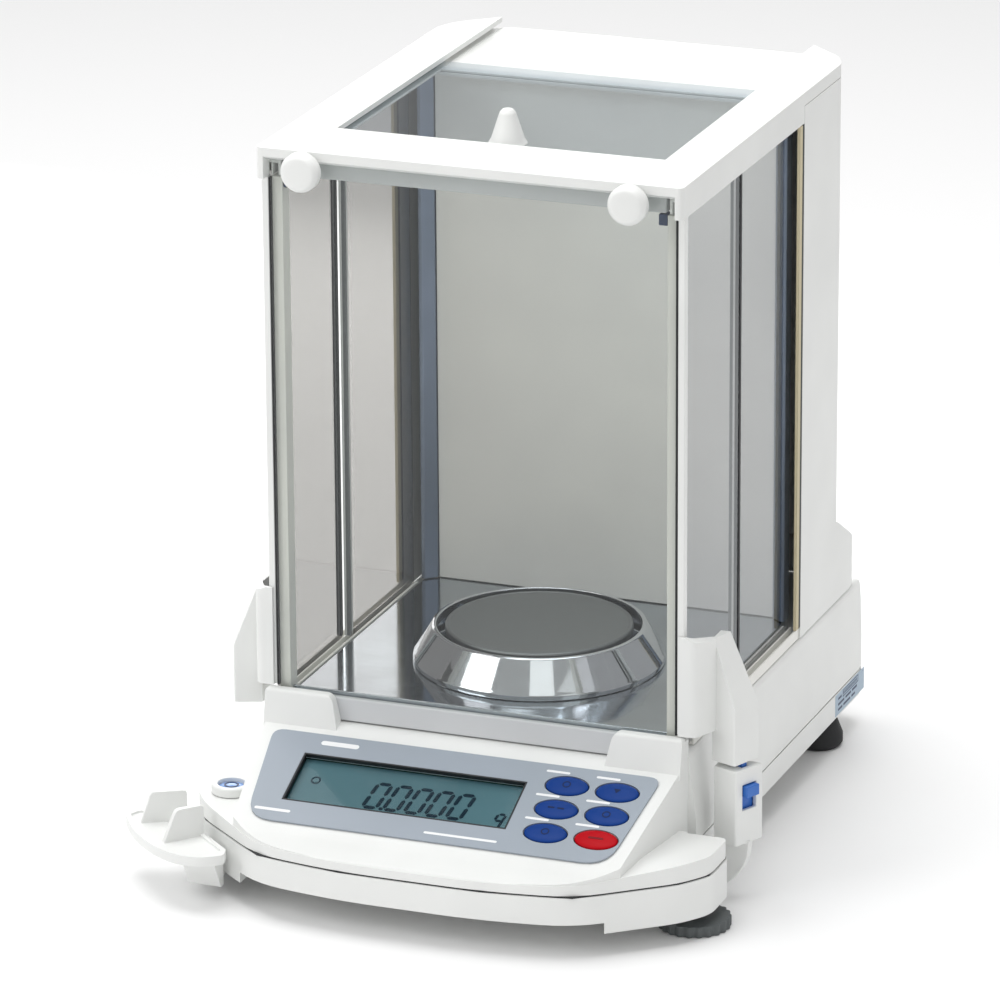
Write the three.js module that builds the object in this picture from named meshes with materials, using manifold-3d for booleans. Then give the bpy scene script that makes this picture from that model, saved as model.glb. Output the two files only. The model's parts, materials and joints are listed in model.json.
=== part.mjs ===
// Analytical balance with a glass draft shield: two telescoping side doors, a sliding top door, a
// one-handed door carriage worked by a grip lever, a sloping keypad and an internal load cell.
// Millimetres, +X right, +Y to the back, +Z up. The front glass stands in the plane Y = 0.
import * as THREE from "three";
import { mergeVertices } from "three/addons/utils/BufferGeometryUtils.js";
import Module from "manifold-3d";

const wasm = await Module();
wasm.setup();

// Clearances
const gap = 0.3; // between pieces that rest on each other
const slide = 0.5; // each side of a pane in its groove
const seamGap = 0.8; // shadow line between the two halves of the case

// Case
const wall = 2.5; // moulded wall of the case
const footLift = 16.4; // underside of the case sides above the table
const blockLift = 10.5; // underside of the front corner blocks
const noseLift = 15.5; // underside of the front skirt
const seamZ = 28.5; // top of the bottom case
const wingZ = 37; // top of the corner wings
const beltZ = 38.1; // widest line of the case side
const caseTopZ = 69.8; // flat top of the case, which carries the chamber
const caseHalf = 102; // half width of the case
const wingHalf = 121; // half width over the corner wings
const noseHalf = 34; // half width of the straight front edge
const noseFrontZ = 32.5; // top of the front edge over the nose
const frontY = -84; // front edge of the case
const wingBackY = -8; // back edge of the corner wings
const caseBackY = 250; // back edge of the case
const blockInner = 85; // inner side of the front corner blocks

// Chamber and column
const bodyHalf = 98; // half width of the column and the top frame
const chamberBackY = 158; // front edge of the column
const columnBackY = 240; // back of the column
const bulgeBackY = 245; // back of the column's foot
const topZ = 328; // top of the whole frame
const skin = 1.4; // wall of the column
const floorThick = 5; // depth of the folded chamber floor
const glassThick = 2; // front and top glass
const paneThick = 1.6; // side panes
const outerPaneX = 95.3; // centre plane of the front side pane
const innerPaneX = 91.9; // centre plane of the rear side pane
const paneJointY = 76.5; // where the front pane ends and the rear pane begins
const stileHalf = 1.6; // half width of the white strips on the panes
const postInner = 88.6; // inner face of the front posts
const postDepth = 10.7; // front posts, front to back

// Top frame
const frameThick = 6.1; // depth of the top frame over the window
const skirtDepth = 14.2; // depth of its side skirts below the top
const frameFrontY = -6.2; // front edge of the top frame
const windowHalf = 76; // half width of the top window
const windowFrontY = 34; // front edge of the top window
const railBite = 3; // how far the top door reaches into its rails

// Keypad console
const consoleBottomY = -62.7; // front edge of the overlay
const consoleBottomZ = 39.1;
const consoleLength = 55.8; // overlay, along the slope
const consoleTilt = 23.58; // slope, in degrees
const overlayTopHalf = 91.5; // half width of the overlay at its top edge
const overlayBottomHalf = 84; // and at its bottom edge
const overlayThick = 0.8;
const lcdLeft = -72; // display window, across and up the slope
const lcdRight = 33.2;
const lcdLow = 13.2;
const lcdHigh = 43.2;
const keyWide = 19.6; // oval keys
const keyTall = 11.4;
const keyColumns = [51.3, 74.6];
const keyRows = [43.8, 29, 14.2];
const keyFit = 0.5; // round each key

// Weighing pan
const panY = 80.2; // centre of the pan behind the front glass
const panRadius = 42.5;
const panTopZ = 92.3;
const ringInner = 46.4; // mouth of the breeze ring
const ringOuter = 57.1; // foot of the breeze ring
const ringWall = 1.2;
const spindleRadius = 6; // pan support
const spindleHole = 9;

// Door handles and the one-handed carriage
const handleTopZ = 124.8;
const handleCrestZ = 121.3; // top of the wedge, where the web's top edge has dipped
const handleLowZ = 64.7;
const handlePlan = [
  [106.4, 10.8],
  [118.4, 6.3, 1.2],
  [124.7, 22, 1.2],
  [106.4, 22],
];
const handleSlant = [
  [118, 6.6, 92.2],
  [124.7, 23.1, 89.2],
  [108, 10.4, 119],
]; // three points of the sloping face above the ridge
const carriageTopZ = 62.4;
const carriageLowZ = 27.5;
const ridge = [119.4, 5.2]; // front ridge of the carriage, in plan
const tip = [126.8, 20.6]; // outermost corner of the carriage, in plan
const slotHalf = 4.2; // latch slot, across
const slotLow = 43.4;
const slotHigh = 55.2;
const slotWall = 2; // wall of the carriage round the slot
const plateHalf = 4.7; // latch plate behind the slot, across
const latchDrop = 6; // how far the latch moves down
const pinTopZ = 68.6; // top of the latch pin, engaged in the handle
const pinHalf = 1.5;
const latchFit = 0.4;

// Feet and grip lever
const footX = 109.7; // front feet
const footY = -21.3;
const footRadius = 16.2;
const footThick = 5;
const stemRadius = 4.8;
const stemFit = 0.5;
const rearFootX = 90.8;
const rearFootY = 207;
const rearFootRadius = 12;
const trayZ = 22; // underside of the grip tray
const trayThick = 3.6;
const rimTall = 1; // rim of the tray above its floor
const rimWide = 2.4;
const finTall = 15;
const leverLowZ = 6.5; // underside of the arm that swings round the left foot
const leverThick = 3.4;

// Finishes
const finish = (color, roughness, metalness = 0, opacity = 1) =>
  new THREE.MeshStandardMaterial({ color, roughness, metalness, opacity, transparent: opacity < 1 });
const white = finish(0xf1f0ea, 0.45);
const lightGrey = finish(0xb9bcbf, 0.5);
const steel = finish(0x9b9ea3, 0.3, 1);
const chrome = finish(0xdfe2e6, 0.08, 1);
const aluminium = finish(0xb5b7b6, 0.4, 1);
const clearGlass = finish(0xdfeaf0, 0.03, 0, 0.25);
const keypadGrey = finish(0x9aa6b4, 0.45);
const blue = finish(0x2d62b4, 0.4);
const red = finish(0xd3142a, 0.4);
const navy = finish(0x1b2b4a, 0.5);
const lcdGrey = finish(0x7f9a9e, 0.3);
const darkGrey = finish(0x4c5052, 0.7);
const black = finish(0x17181a, 0.6);
const boardGreen = finish(0x1f5a3a, 0.6);
const beige = finish(0xd8ccae, 0.6);

// A geometry as a solid that can be joined and cut.
function solid(geometry) {
  const bare = geometry.clone();
  bare.deleteAttribute("normal");
  bare.deleteAttribute("uv");
  const merged = mergeVertices(bare, 1e-4);
  const triVerts = new Uint32Array(merged.index.array);
  const vertProperties = merged.attributes.position.array;
  return new wasm.Manifold(new wasm.Mesh({ numProp: 3, vertProperties, triVerts }));
}

// A solid back as a geometry.
function geometryOf(shape) {
  const { vertProperties, triVerts } = shape.getMesh();
  const geometry = new THREE.BufferGeometry();
  geometry.setAttribute("position", new THREE.BufferAttribute(vertProperties, 3));
  geometry.setIndex(new THREE.BufferAttribute(triVerts, 1));
  return geometry;
}

const join = (shapes) => shapes.reduce((all, shape) => all.add(shape));
const cut = (shape, holes) => holes.reduce((left, hole) => left.subtract(hole), shape);

// A closed outline of [a, b] or [a, b, corner radius] points.
function outline(points) {
  const shape = new THREE.Shape();
  const at = (i) => new THREE.Vector2(...points[(i + points.length) % points.length].slice(0, 2));
  points.forEach(([a, b, radius = 0], i) => {
    const start = at(i).add(at(i - 1).sub(at(i)).setLength(radius));
    const end = at(i).add(at(i + 1).sub(at(i)).setLength(radius));
    if (i === 0) shape.moveTo(start.x, start.y);
    else shape.lineTo(start.x, start.y);
    if (radius > 0) shape.quadraticCurveTo(a, b, end.x, end.y);
  });
  return shape;
}

// The outline moved inwards by a wall. Points run anticlockwise.
function inset(points, distance) {
  const count = points.length;
  return points.map(([a, b, radius = 0], i) => {
    const here = new THREE.Vector2(a, b);
    const last = new THREE.Vector2(...points[(i + count - 1) % count].slice(0, 2));
    const next = new THREE.Vector2(...points[(i + 1) % count].slice(0, 2));
    const into = here.clone().sub(last).normalize();
    const out = next.sub(here).normalize();
    const normalIn = new THREE.Vector2(-into.y, into.x);
    const normalOut = new THREE.Vector2(-out.y, out.x);
    const reach = distance / (1 + normalIn.dot(normalOut));
    const moved = here.add(normalIn.add(normalOut).multiplyScalar(reach));
    return [moved.x, moved.y, Math.max(radius - distance, 0)];
  });
}

// The right half of a symmetric outline, front to back, completed by its mirror image.
const bothSides = (half) => [...half, ...half.toReversed().map(([x, y, r]) => [-x, y, r])];

function extrusion(points, low, high, segments = 5) {
  const settings = { depth: high - low, bevelEnabled: false, curveSegments: segments };
  return new THREE.ExtrudeGeometry(outline(points), settings).translate(0, 0, low);
}

// Prisms along Z, X and Y from outlines in XY, YZ and XZ.
const alongX = new THREE.Matrix4().makeBasis(
  new THREE.Vector3(0, 1, 0),
  new THREE.Vector3(0, 0, 1),
  new THREE.Vector3(1, 0, 0),
);
const alongY = new THREE.Matrix4().makeBasis(
  new THREE.Vector3(1, 0, 0),
  new THREE.Vector3(0, 0, 1),
  new THREE.Vector3(0, -1, 0),
);
const prism = (points, low, high) => solid(extrusion(points, low, high));
const prismX = (points, low, high) => solid(extrusion(points, low, high).applyMatrix4(alongX));
const prismY = (points, low, high) => solid(extrusion(points, -high, -low).applyMatrix4(alongY));

function block(x0, x1, y0, y1, z0, z1) {
  return new THREE.BoxGeometry(x1 - x0, y1 - y0, z1 - z0).translate(
    (x0 + x1) / 2,
    (y0 + y1) / 2,
    (z0 + z1) / 2,
  );
}
const box = (...sides) => solid(block(...sides));

// A round bar along Z.
function round(radius, low, high, x = 0, y = 0, sides = 32) {
  const bar = new THREE.CylinderGeometry(radius, radius, high - low, sides).rotateX(Math.PI / 2);
  return solid(bar.translate(x, y, (low + high) / 2));
}

// A turned piece from [radius, height] points, its outside running upwards.
function turned(profile, x = 0, y = 0, sides = 48) {
  const points = profile.map(([radius, height]) => new THREE.Vector2(radius, height));
  return solid(new THREE.LatheGeometry(points, sides).rotateX(Math.PI / 2).translate(x, y, 0));
}

// The mirror image of a geometry across the plane X = 0.
function mirrored(geometry) {
  const copy = geometry.clone().scale(-1, 1, 1);
  copy.setIndex([...copy.index.array].reverse());
  return copy;
}

const balance = new THREE.Group();

function add(name, shape, material, parent = balance) {
  const geometry = shape.isBufferGeometry ? shape : geometryOf(shape);
  geometry.computeVertexNormals();
  const mesh = new THREE.Mesh(geometry, material);
  mesh.name = name;
  parent.add(mesh);
  return mesh;
}

function addPair(name, shape, material) {
  const right = geometryOf(shape);
  add(`${name}_right`, right, material);
  add(`${name}_left`, mirrored(right), material);
}

// The plan of the case at its seam.
const casePlan = bothSides([
  [noseHalf, frontY, 20],
  [noseHalf + 40, frontY + 6.5, 14],
  [wingHalf - 9, frontY + 38, 8],
  [wingHalf, frontY + 52, 6],
  [wingHalf, wingBackY, 4],
  [caseHalf, wingBackY, 1],
  [caseHalf, caseBackY, 16],
]);

// Keypad console: its group lies in the plane of the overlay, origin at the middle of the bottom edge.
const console_ = new THREE.Group();
console_.position.set(0, consoleBottomY, consoleBottomZ);
console_.rotation.x = THREE.MathUtils.degToRad(consoleTilt);
balance.add(console_);
console_.updateMatrixWorld(true);
const slopeRise = Math.tan(console_.rotation.x);
const slopeZ = (y) => consoleBottomZ + (y - consoleBottomY) * slopeRise;
const consoleTopY = consoleBottomY + consoleLength * Math.cos(console_.rotation.x);

const keyNames = [
  ["power_key", "calibrate_key"],
  ["range_key", "print_key"],
  ["mode_key", "rezero_key"],
];
const keyPlaces = keyNames.flatMap((names, row) =>
  names.map((name, column) => ({ name, x: keyColumns[column], y: keyRows[row] })),
);

function oval(wide, tall, low, high) {
  const bar = new THREE.CylinderGeometry(1, 1, high - low, 28).rotateX(Math.PI / 2);
  return bar.scale(wide / 2, tall / 2, 1).translate(0, 0, (low + high) / 2);
}

// What passes through the console: the display window and the keys.
function consoleHoles(low, high) {
  const keys = keyPlaces.map(({ x, y }) =>
    oval(keyWide + 2 * keyFit, keyTall + 2 * keyFit, low, high).translate(x, y, 0),
  );
  return [block(lcdLeft, lcdRight, lcdLow, lcdHigh, low, high), ...keys];
}

// Towers that hold the lower corners of the front glass.
const towerTopZ = 78.5;
const towerInner = 62.4;
const glassFrontY = -glassThick / 2;
const ledgeZ = 65; // ledge in front of the chamber

function bottomCase() {
  const top = seamZ - seamGap / 2;
  const front = box(-wingHalf, wingHalf, frontY - 1, wingBackY + 12, 0, top + 1);
  const nose = prism(casePlan, noseLift, top).intersect(front);
  const belly = prism(
    bothSides([
      [caseHalf, wingBackY, 2],
      [caseHalf, caseBackY, 16],
    ]),
    footLift,
    top,
  );
  const corners = [-1, 1].map((side) => {
    const [x0, x1] = [side * blockInner, side * wingHalf].sort((a, b) => a - b);
    return prism(casePlan, blockLift, top).intersect(front).intersect(box(x0, x1, frontY, 0, 0, top));
  });
  const room = prism(inset(casePlan, wall), noseLift + wall, top + 1).intersect(front);
  const bellyRoom = box(
    wall - caseHalf,
    caseHalf - wall,
    wingBackY + wall,
    caseBackY - 16,
    footLift + wall,
    top + 1,
  );
  const stems = [-1, 1].map((side) =>
    round(stemRadius + stemFit, 0, top + 1, side * footX, footY, 24),
  );
  return cut(join([nose, belly, ...corners]), [room, bellyRoom, ...stems]);
}

// Sloping hood of the case, as a side profile and a plan, both of which take a wall off for its inside.
function hood(offset) {
  const low = seamZ + seamGap / 2;
  const lid = offset === 0 ? 0 : offset / Math.cos(console_.rotation.x);
  const backY = 10;
  const profile = [
    [frontY + 1 + offset, low - offset],
    [backY, low - offset],
    [backY, ledgeZ - offset],
    [consoleTopY + 7.5, ledgeZ - offset, 2],
    [consoleBottomY - 5, slopeZ(consoleBottomY - 5) - lid, 3],
    [frontY + 1 + offset, noseFrontZ - lid, 3],
  ];
  const sides = bothSides([
    [overlayBottomHalf + 3.5 - offset, frontY + 1 + offset, 14],
    [bodyHalf + 0.2 - offset, consoleTopY + 9, 4],
    [bodyHalf + 0.2 - offset, backY],
  ]);
  return prismX(profile, -wingHalf, wingHalf)
    .intersect(prism(sides, 0, topZ))
    .intersect(prism(inset(casePlan, 1 + offset), 0, topZ));
}

// Shelf round the front of the case, flat over the corner wings and falling towards the nose.
function shelf(offset) {
  const low = seamZ + seamGap / 2;
  const profile = [
    [frontY - 1, low - offset],
    [wingBackY + 1, low - offset],
    [wingBackY + 1, wingZ - offset],
    [frontY + 40, wingZ - offset, 4],
    [frontY - 1, noseFrontZ - offset],
  ];
  return prismX(profile, -wingHalf, wingHalf).intersect(prism(inset(casePlan, 0.6 + offset), 0, topZ));
}

// The side and back walls of the case, drafted inwards above the belt.
function casing(offset) {
  const low = seamZ + seamGap / 2 - offset;
  const section = bothSides([
    [caseHalf - offset, low],
    [caseHalf - offset, beltZ],
    [bodyHalf + 0.4 - offset, caseTopZ - offset, 3],
  ]);
  const profile = [
    [2.5 + offset, low],
    [caseBackY - offset, low],
    [caseBackY - 0.5 - offset, beltZ],
    [caseBackY - 3.5 - offset, caseTopZ - offset, 3],
    [2.5 + offset, caseTopZ - offset],
  ];
  const plan = bothSides([
    [caseHalf, 0],
    [caseHalf, caseBackY, 16],
  ]);
  return prismY(section, 0, caseBackY + 1)
    .intersect(prismX(profile, -wingHalf, wingHalf))
    .intersect(prism(offset === 0 ? plan : inset(plan, offset), 0, topZ));
}

function tower() {
  const front = consoleTopY + 3;
  const profile = [
    [front, ledgeZ - 4],
    [glassFrontY - gap, ledgeZ - 4],
    [glassFrontY - gap, towerTopZ, 0.5],
    [glassFrontY - 4.3, towerTopZ, 2],
  ];
  const body = prismX(profile, towerInner, bodyHalf + 0.2);
  const crop = prismY(
    [
      [towerInner, ledgeZ - 5],
      [bodyHalf + 0.2, ledgeZ - 5],
      [bodyHalf + 0.2, towerTopZ, 2],
      [towerInner + 4, towerTopZ, 4],
    ],
    -60,
    20,
  );
  const cheek = box(bodyHalf - 3.6, bodyHalf + 0.2, glassFrontY - 2, 3, ledgeZ - 4, towerTopZ - 2);
  return body.intersect(crop).add(cheek);
}

// Rear sockets, as [name, x0, x1, z0, z1].
const inletSocket = [-74, -56, 42, 56];

function baseCover() {
  const towerRight = tower();
  const towerLeft = solid(mirrored(geometryOf(towerRight)));
  const [x0, x1, z0, z1] = inletSocket;
  const behind = caseBackY + 5;
  const holes = [
    hood(wall),
    casing(wall),
    shelf(wall),
    round(spindleHole, 0, topZ, 0, panY),
    box(x0 - gap, x1 + gap, caseBackY - 20, behind, z0 - gap, z1 + gap),
    ...consoleHoles(-20, 20).map((hole) => solid(hole.applyMatrix4(console_.matrixWorld))),
  ];
  return cut(join([shelf(0), hood(0), casing(0), towerRight, towerLeft]), holes);
}

function caseParts() {
  add("bottom_case", bottomCase(), white);
  add("base_cover", baseCover(), white);
  const lipTop = ledgeZ + 11.4;
  const lipHalf = postInner - 2 * gap; // its ends stand behind the towers
  add("front_lip", box(-lipHalf, lipHalf, gap - 1.3, 2.2, ledgeZ + 2 * gap, lipTop), lightGrey);
  const [x0, x1, z0, z1] = inletSocket;
  const socket = box(x0 + 3, x1 - 3, caseBackY - 8, caseBackY + 2, z0 + 3, z1 - 3);
  const shell = box(x0, x1, caseBackY - 16, caseBackY + 1, z0, z1);
  add("power_inlet", shell.subtract(socket), black);
  const levelX = -(footX - 5.2);
  const levelY = footY - 9.4;
  const levelLow = wingZ + gap;
  const levelTop = levelLow + 4.2;
  const ring = [
    [6.2, levelLow],
    [9, levelLow],
    [9, levelTop - 0.6],
    [8.4, levelTop],
    [6.2, levelTop],
    [6.2, levelLow],
  ];
  add("level_ring", turned(ring, levelX, levelY, 32), white);
  add("level_vial", round(6.2 - gap, levelLow, levelTop - 1.2, levelX, levelY), blue);
}

function consoleParts() {
  const plan = bothSides([
    [overlayBottomHalf, 0, 12],
    [overlayTopHalf, consoleLength, 6],
  ]);
  const plate = prism(plan, gap, gap + overlayThick);
  add("keypad_overlay", cut(plate, consoleHoles(-1, 2).map(solid)), keypadGrey, console_);
  const [left, right] = [lcdLeft + gap, lcdRight - gap];
  const [low, high] = [lcdLow + gap, lcdHigh - gap];
  const windowLow = -wall + gap;
  add("lcd_window", block(left, right, low, high, windowLow, windowLow + 1.2), clearGlass, console_);
  const moduleTop = windowLow - gap;
  const lcd = block(left, right, low, high, moduleTop - 3.5, moduleTop);
  add("lcd_module", lcd, lcdGrey, console_);
  keyPlaces.forEach(({ name, x, y }) => {
    const cap = solid(oval(keyWide, keyTall, -wall - 0.6, 1.6));
    const crown = solid(oval(keyWide - 3, keyTall - 3, 1.2, 2.4));
    const key = add(name, cap.add(crown), name === "rezero_key" ? red : blue, console_);
    key.position.set(x, y, 0);
  });
  const boardTop = moduleTop - 3.5 - gap;
  const board = block(-overlayBottomHalf + 6, overlayBottomHalf - 2, 4, lcdHigh + 8, boardTop - 1.6, boardTop);
  add("display_board", board, boardGreen, console_);
}

function weighingParts() {
  const floorHalf = postInner - gap;
  const low = caseTopZ + gap;
  const high = low + floorThick;
  const sheet = 1.5;
  const backY = chamberBackY + 7.7;
  const floor = cut(
    box(-floorHalf, floorHalf, 2.8, backY, low, high).add(
      box(-floorHalf, floorHalf, 2.8, 4, high - sheet, high + 2.9),
    ),
    [
      box(sheet - floorHalf, floorHalf - sheet, 2.8 + sheet, backY - sheet, 0, high - sheet),
      round(spindleHole, 0, topZ, 0, panY),
    ],
  );
  add("chamber_floor", floor, steel);

  const ringLow = high + gap;
  const ringTop = panTopZ;
  const ring = [
    [ringOuter, ringLow],
    [ringOuter, ringLow + 2],
    [ringInner + 1.2, ringTop],
    [ringInner, ringTop],
    [ringInner, ringTop - 4.5],
    [ringInner + ringWall, ringTop - 4.5],
    [ringInner + ringWall, ringTop - ringWall - 0.6],
    [ringOuter - ringWall, ringLow + 1.4],
    [ringOuter - ringWall, ringLow],
    [ringOuter, ringLow],
  ];
  add("breeze_ring", turned(ring, 0, panY, 64), chrome);

  const panLow = panTopZ - 3.4;
  const pan = [
    [0, panTopZ - 1.6],
    [panRadius - 2.4, panTopZ - 1.6],
    [panRadius - 1.4, panLow],
    [panRadius, panLow],
    [panRadius, panTopZ - 0.5],
    [panRadius - 0.6, panTopZ],
    [0, panTopZ],
  ];
  add("weighing_pan", turned(pan, 0, panY, 64), steel);
  const spindleTop = panTopZ - 1.6 - gap;
  const spindleLow = caseTopZ - 8;
  const spindle = [
    [0, spindleLow],
    [spindleRadius, spindleLow],
    [spindleRadius, spindleTop - 7],
    [spindleRadius * 2.6, spindleTop - 2],
    [spindleRadius * 2.6, spindleTop],
    [0, spindleTop],
  ];
  add("pan_support", turned(spindle, 0, panY, 32), aluminium);

  const cellLow = footLift + wall + gap;
  const cellTop = caseTopZ - wall - 7;
  const cell = cut(box(-30, 30, panY - 48, panY + 44, cellLow, cellTop), [
    box(-23, 23, panY - 40, panY + 36, cellLow + 5, cellTop + 1),
  ]);
  add("load_cell_body", cell, aluminium);
  const lever = join([
    box(-6, 6, panY - 38, panY + 34, cellTop - 16, cellTop - 10),
    round(spindleRadius - 1, cellTop - 12, spindleLow - gap, 0, panY, 24),
  ]);
  add("load_cell_lever", lever, aluminium);
  const weightLow = cellLow + 5 + gap;
  add("calibration_weight", round(8, weightLow, weightLow + 15, 0, panY + 22, 28), steel);
  const boardLow = footLift + wall + 4;
  const board = join([
    box(-80, 80, chamberBackY + 12, caseBackY - 24, boardLow, boardLow + 1.6),
    box(-60, -20, chamberBackY + 22, caseBackY - 36, boardLow + 1, boardLow + 16),
    box(10, 34, chamberBackY + 24, caseBackY - 44, boardLow + 1, boardLow + 8),
  ]);
  add("main_board", board, boardGreen);
}

const trackLow = caseTopZ + gap;
const trackHigh = trackLow + floorThick;
const skirtLowZ = topZ - skirtDepth;
const frameLowZ = topZ - frameThick;
const paneLowZ = trackLow + 1.4;
const paneHighZ = skirtLowZ + 4.2;
const grooveHalf = paneThick / 2 + slide;
const grooves = (y0, y1, z0, z1) =>
  [outerPaneX, innerPaneX].map((x) => box(x - grooveHalf, x + grooveHalf, y0, y1, z0, z1));

// Front posts, the beam between them, the front glass and its two thumb screws.
function frontParts() {
  const behindGlass = glassThick / 2 + gap;
  const postOuter = outerPaneX - paneThick / 2 - 0.6;
  const postTop = skirtLowZ - 0.4;
  const backY = behindGlass + postDepth;
  const post = prism(
    [
      [postInner, behindGlass],
      [postOuter, behindGlass],
      [postOuter, backY],
      [postInner + 2, backY],
      [postInner + 2, backY - 3],
      [postInner, backY - 3],
    ],
    trackLow,
    postTop,
  );
  addPair("front_post", post, aluminium);
  const beamHalf = postInner - 2 * gap;
  const beam = box(-beamHalf, beamHalf, behindGlass + gap, 9, skirtLowZ + 0.2, frameLowZ - gap);
  add("top_beam", beam, lightGrey);
  const clip = box(postInner - 4.3, postInner - gap, behindGlass + 0.7, 8, postTop - 5, postTop);
  addPair("corner_clip", clip, navy);
  const glassHalf = outerPaneX - paneThick / 2 - 0.7;
  const glassLow = ledgeZ + 11.7;
  const pane = box(-glassHalf, glassHalf, glassFrontY, -glassFrontY, glassLow, frameLowZ - 2 * gap);
  add("front_glass", pane, clearGlass);
  const head = [
    [0, -glassFrontY + gap],
    [1.7, -glassFrontY + gap],
    [1.7, 1 - frameFrontY],
    [7.9, 1 - frameFrontY],
    [8.75, 2 - frameFrontY],
    [8.75, 7.2 - frameFrontY],
    [7.6, 8.6 - frameFrontY],
    [0, 8.9 - frameFrontY],
  ];
  const points = head.map(([radius, height]) => new THREE.Vector2(radius, height));
  const screw = new THREE.LatheGeometry(points, 40).rotateX(Math.PI);
  addPair("glass_screw", solid(screw.translate(75, 0, frameLowZ - 2)), white);
}

// Telescoping side doors in their tracks.
function doorParts() {
  const track = cut(
    box(innerPaneX - 2.5, outerPaneX + 2.1, postDepth + 1.6, chamberBackY - 0.4, trackLow, trackHigh),
    grooves(0, chamberBackY, trackLow + 1.1, topZ),
  );
  addPair("door_track", track, aluminium);
  const half = paneThick / 2;
  const [outerLow, outerHigh] = [outerPaneX - half, outerPaneX + half];
  const [innerLow, innerHigh] = [innerPaneX - half, innerPaneX + half];
  const stileDepth = 4.2;
  const paneFrontY = glassFrontY + stileDepth + gap;
  const frontPane = box(outerLow, outerHigh, paneFrontY, paneJointY, paneLowZ, paneHighZ);
  addPair("front_pane", frontPane, clearGlass);
  const frontStile = box(
    outerPaneX - 1.1,
    outerPaneX + 2.1,
    glassFrontY,
    glassFrontY + stileDepth,
    towerTopZ + 0.5,
    skirtLowZ - 0.4,
  );
  addPair("front_stile", frontStile, white);
  const rearStileY = paneJointY + 0.5;
  const rearStile = box(
    innerPaneX - stileHalf,
    innerPaneX + stileHalf,
    rearStileY,
    rearStileY + 7.5,
    trackHigh + 0.4,
    skirtLowZ - 0.4,
  );
  addPair("rear_stile", rearStile, white);
  const rearPaneY = rearStileY + 7.5 + gap;
  const rearPane = box(innerLow, innerHigh, rearPaneY, chamberBackY - 1, paneLowZ, paneHighZ);
  addPair("rear_pane", rearPane, clearGlass);
  const seal = box(
    outerHigh + slide,
    bodyHalf,
    chamberBackY - 6,
    chamberBackY - 0.4,
    trackHigh + 0.4,
    skirtLowZ - 0.4,
  );
  addPair("column_seal", seal, beige);
}

// A block set into the carriage's outer face: across, inwards from the face, and up.
const faceAngle = Math.atan2(tip[1] - ridge[1], tip[0] - ridge[0]);
function inFace(x0, x1, in0, in1, z0, z1) {
  const piece = block(x0, x1, in0, in1, z0, z1).rotateZ(faceAngle);
  return solid(piece.translate((ridge[0] + tip[0]) / 2, (ridge[1] + tip[1]) / 2, 0));
}
const pinIn = 3.2; // latch pin, how far inside the face
const pinSocket = (z0, z1) =>
  inFace(-pinHalf - latchFit, pinHalf + latchFit, pinIn - latchFit, pinIn + 2 * pinHalf + latchFit, z0, z1);

function handleParts() {
  const slant = new THREE.Plane().setFromCoplanarPoints(
    ...handleSlant.map((point) => new THREE.Vector3(...point)),
  );
  const keep = slant.normal.x > 0 ? slant.clone().negate() : slant;
  const wedge = prism(handlePlan, handleLowZ, handleCrestZ).trimByPlane(
    keep.normal.toArray(),
    -keep.constant,
  );
  const wrap = outerPaneX - 0.1; // the web begins over the front of the stile
  const face = glassFrontY - gap;
  const web = prism(
    [
      [wrap, face - 1.5],
      [103, face - 1.5, 3],
      [108.4, 10.2],
      [107, 14],
      [100.6, 1.2, 1.5],
      [outerPaneX + 2.1 + gap, face],
      [wrap, face],
    ],
    towerTopZ + 0.6,
    handleTopZ,
  );
  const dip = prismY(
    [
      [wrap + 3, handleTopZ],
      [107, handleCrestZ],
      [112, handleCrestZ],
      [112, handleTopZ + 1],
      [wrap + 3, handleTopZ + 1],
    ],
    face - 3,
    30,
  );
  const hollow = prism(
    [
      [108.8, 12.4],
      [117, 9.4, 1],
      [121.6, 20.4, 1],
      [121.6, 24],
      [108.8, 24],
    ],
    handleLowZ + 12,
    handleCrestZ - 16,
  ).trimByPlane(keep.normal.toArray(), 2 - keep.constant);
  const socket = pinSocket(handleLowZ - 1, pinTopZ + 1);
  addPair("door_handle", cut(wedge.add(web.subtract(dip)), [hollow, socket]), white);
}

function carriageParts() {
  const inner = handlePlan[0][0] + 1.2;
  const plan = [
    [inner, 10],
    [...ridge, 1.2],
    [...tip, 1.2],
    [inner, 24],
  ];
  const underneath = blockLift - 4;
  const armTop = blockLift - 0.6;
  const bracket = prismY(
    [
      [caseHalf + 0.6, underneath],
      [112, underneath, 2],
      [117, 10.5, 3],
      [122.4, 18.5, 4],
      [123.6, carriageLowZ + 1],
      [inner, carriageLowZ + 1],
      [inner, armTop + 6],
      [caseHalf + 0.6, armTop + 3],
    ],
    11,
    17,
  );
  const arm = box(caseHalf - 18, caseHalf + 4, 11, 17, underneath, armTop);
  const body = join([prism(plan, carriageLowZ, carriageTopZ), bracket, arm]);
  const opening = inFace(-slotHalf, slotHalf, -2, slotWall + 1, slotLow, slotHigh);
  const plateLow = slotLow - 1;
  const plateHigh = slotHigh + 2;
  const room = inFace(
    -plateHalf - latchFit,
    plateHalf + latchFit,
    slotWall,
    slotWall + 4.6,
    plateLow - latchDrop - latchFit,
    plateHigh + latchFit,
  );
  const bore = pinSocket(slotHigh, carriageTopZ + 1);
  add("door_carriage", cut(body, [opening, room, bore]), white);
  const tabLow = slotLow + latchDrop + latchFit;
  const tabHalf = slotHalf - latchFit;
  const latch = join([
    inFace(-plateHalf, plateHalf, slotWall + latchFit, slotWall + 2.4, plateLow, plateHigh),
    inFace(-tabHalf, tabHalf, -2.4, slotWall + 1, tabLow, slotHigh - latchFit),
    inFace(-pinHalf, pinHalf, pinIn, pinIn + 2 * pinHalf, tabLow, pinTopZ),
  ]);
  add("latch_slide", latch, blue);
}

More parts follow.
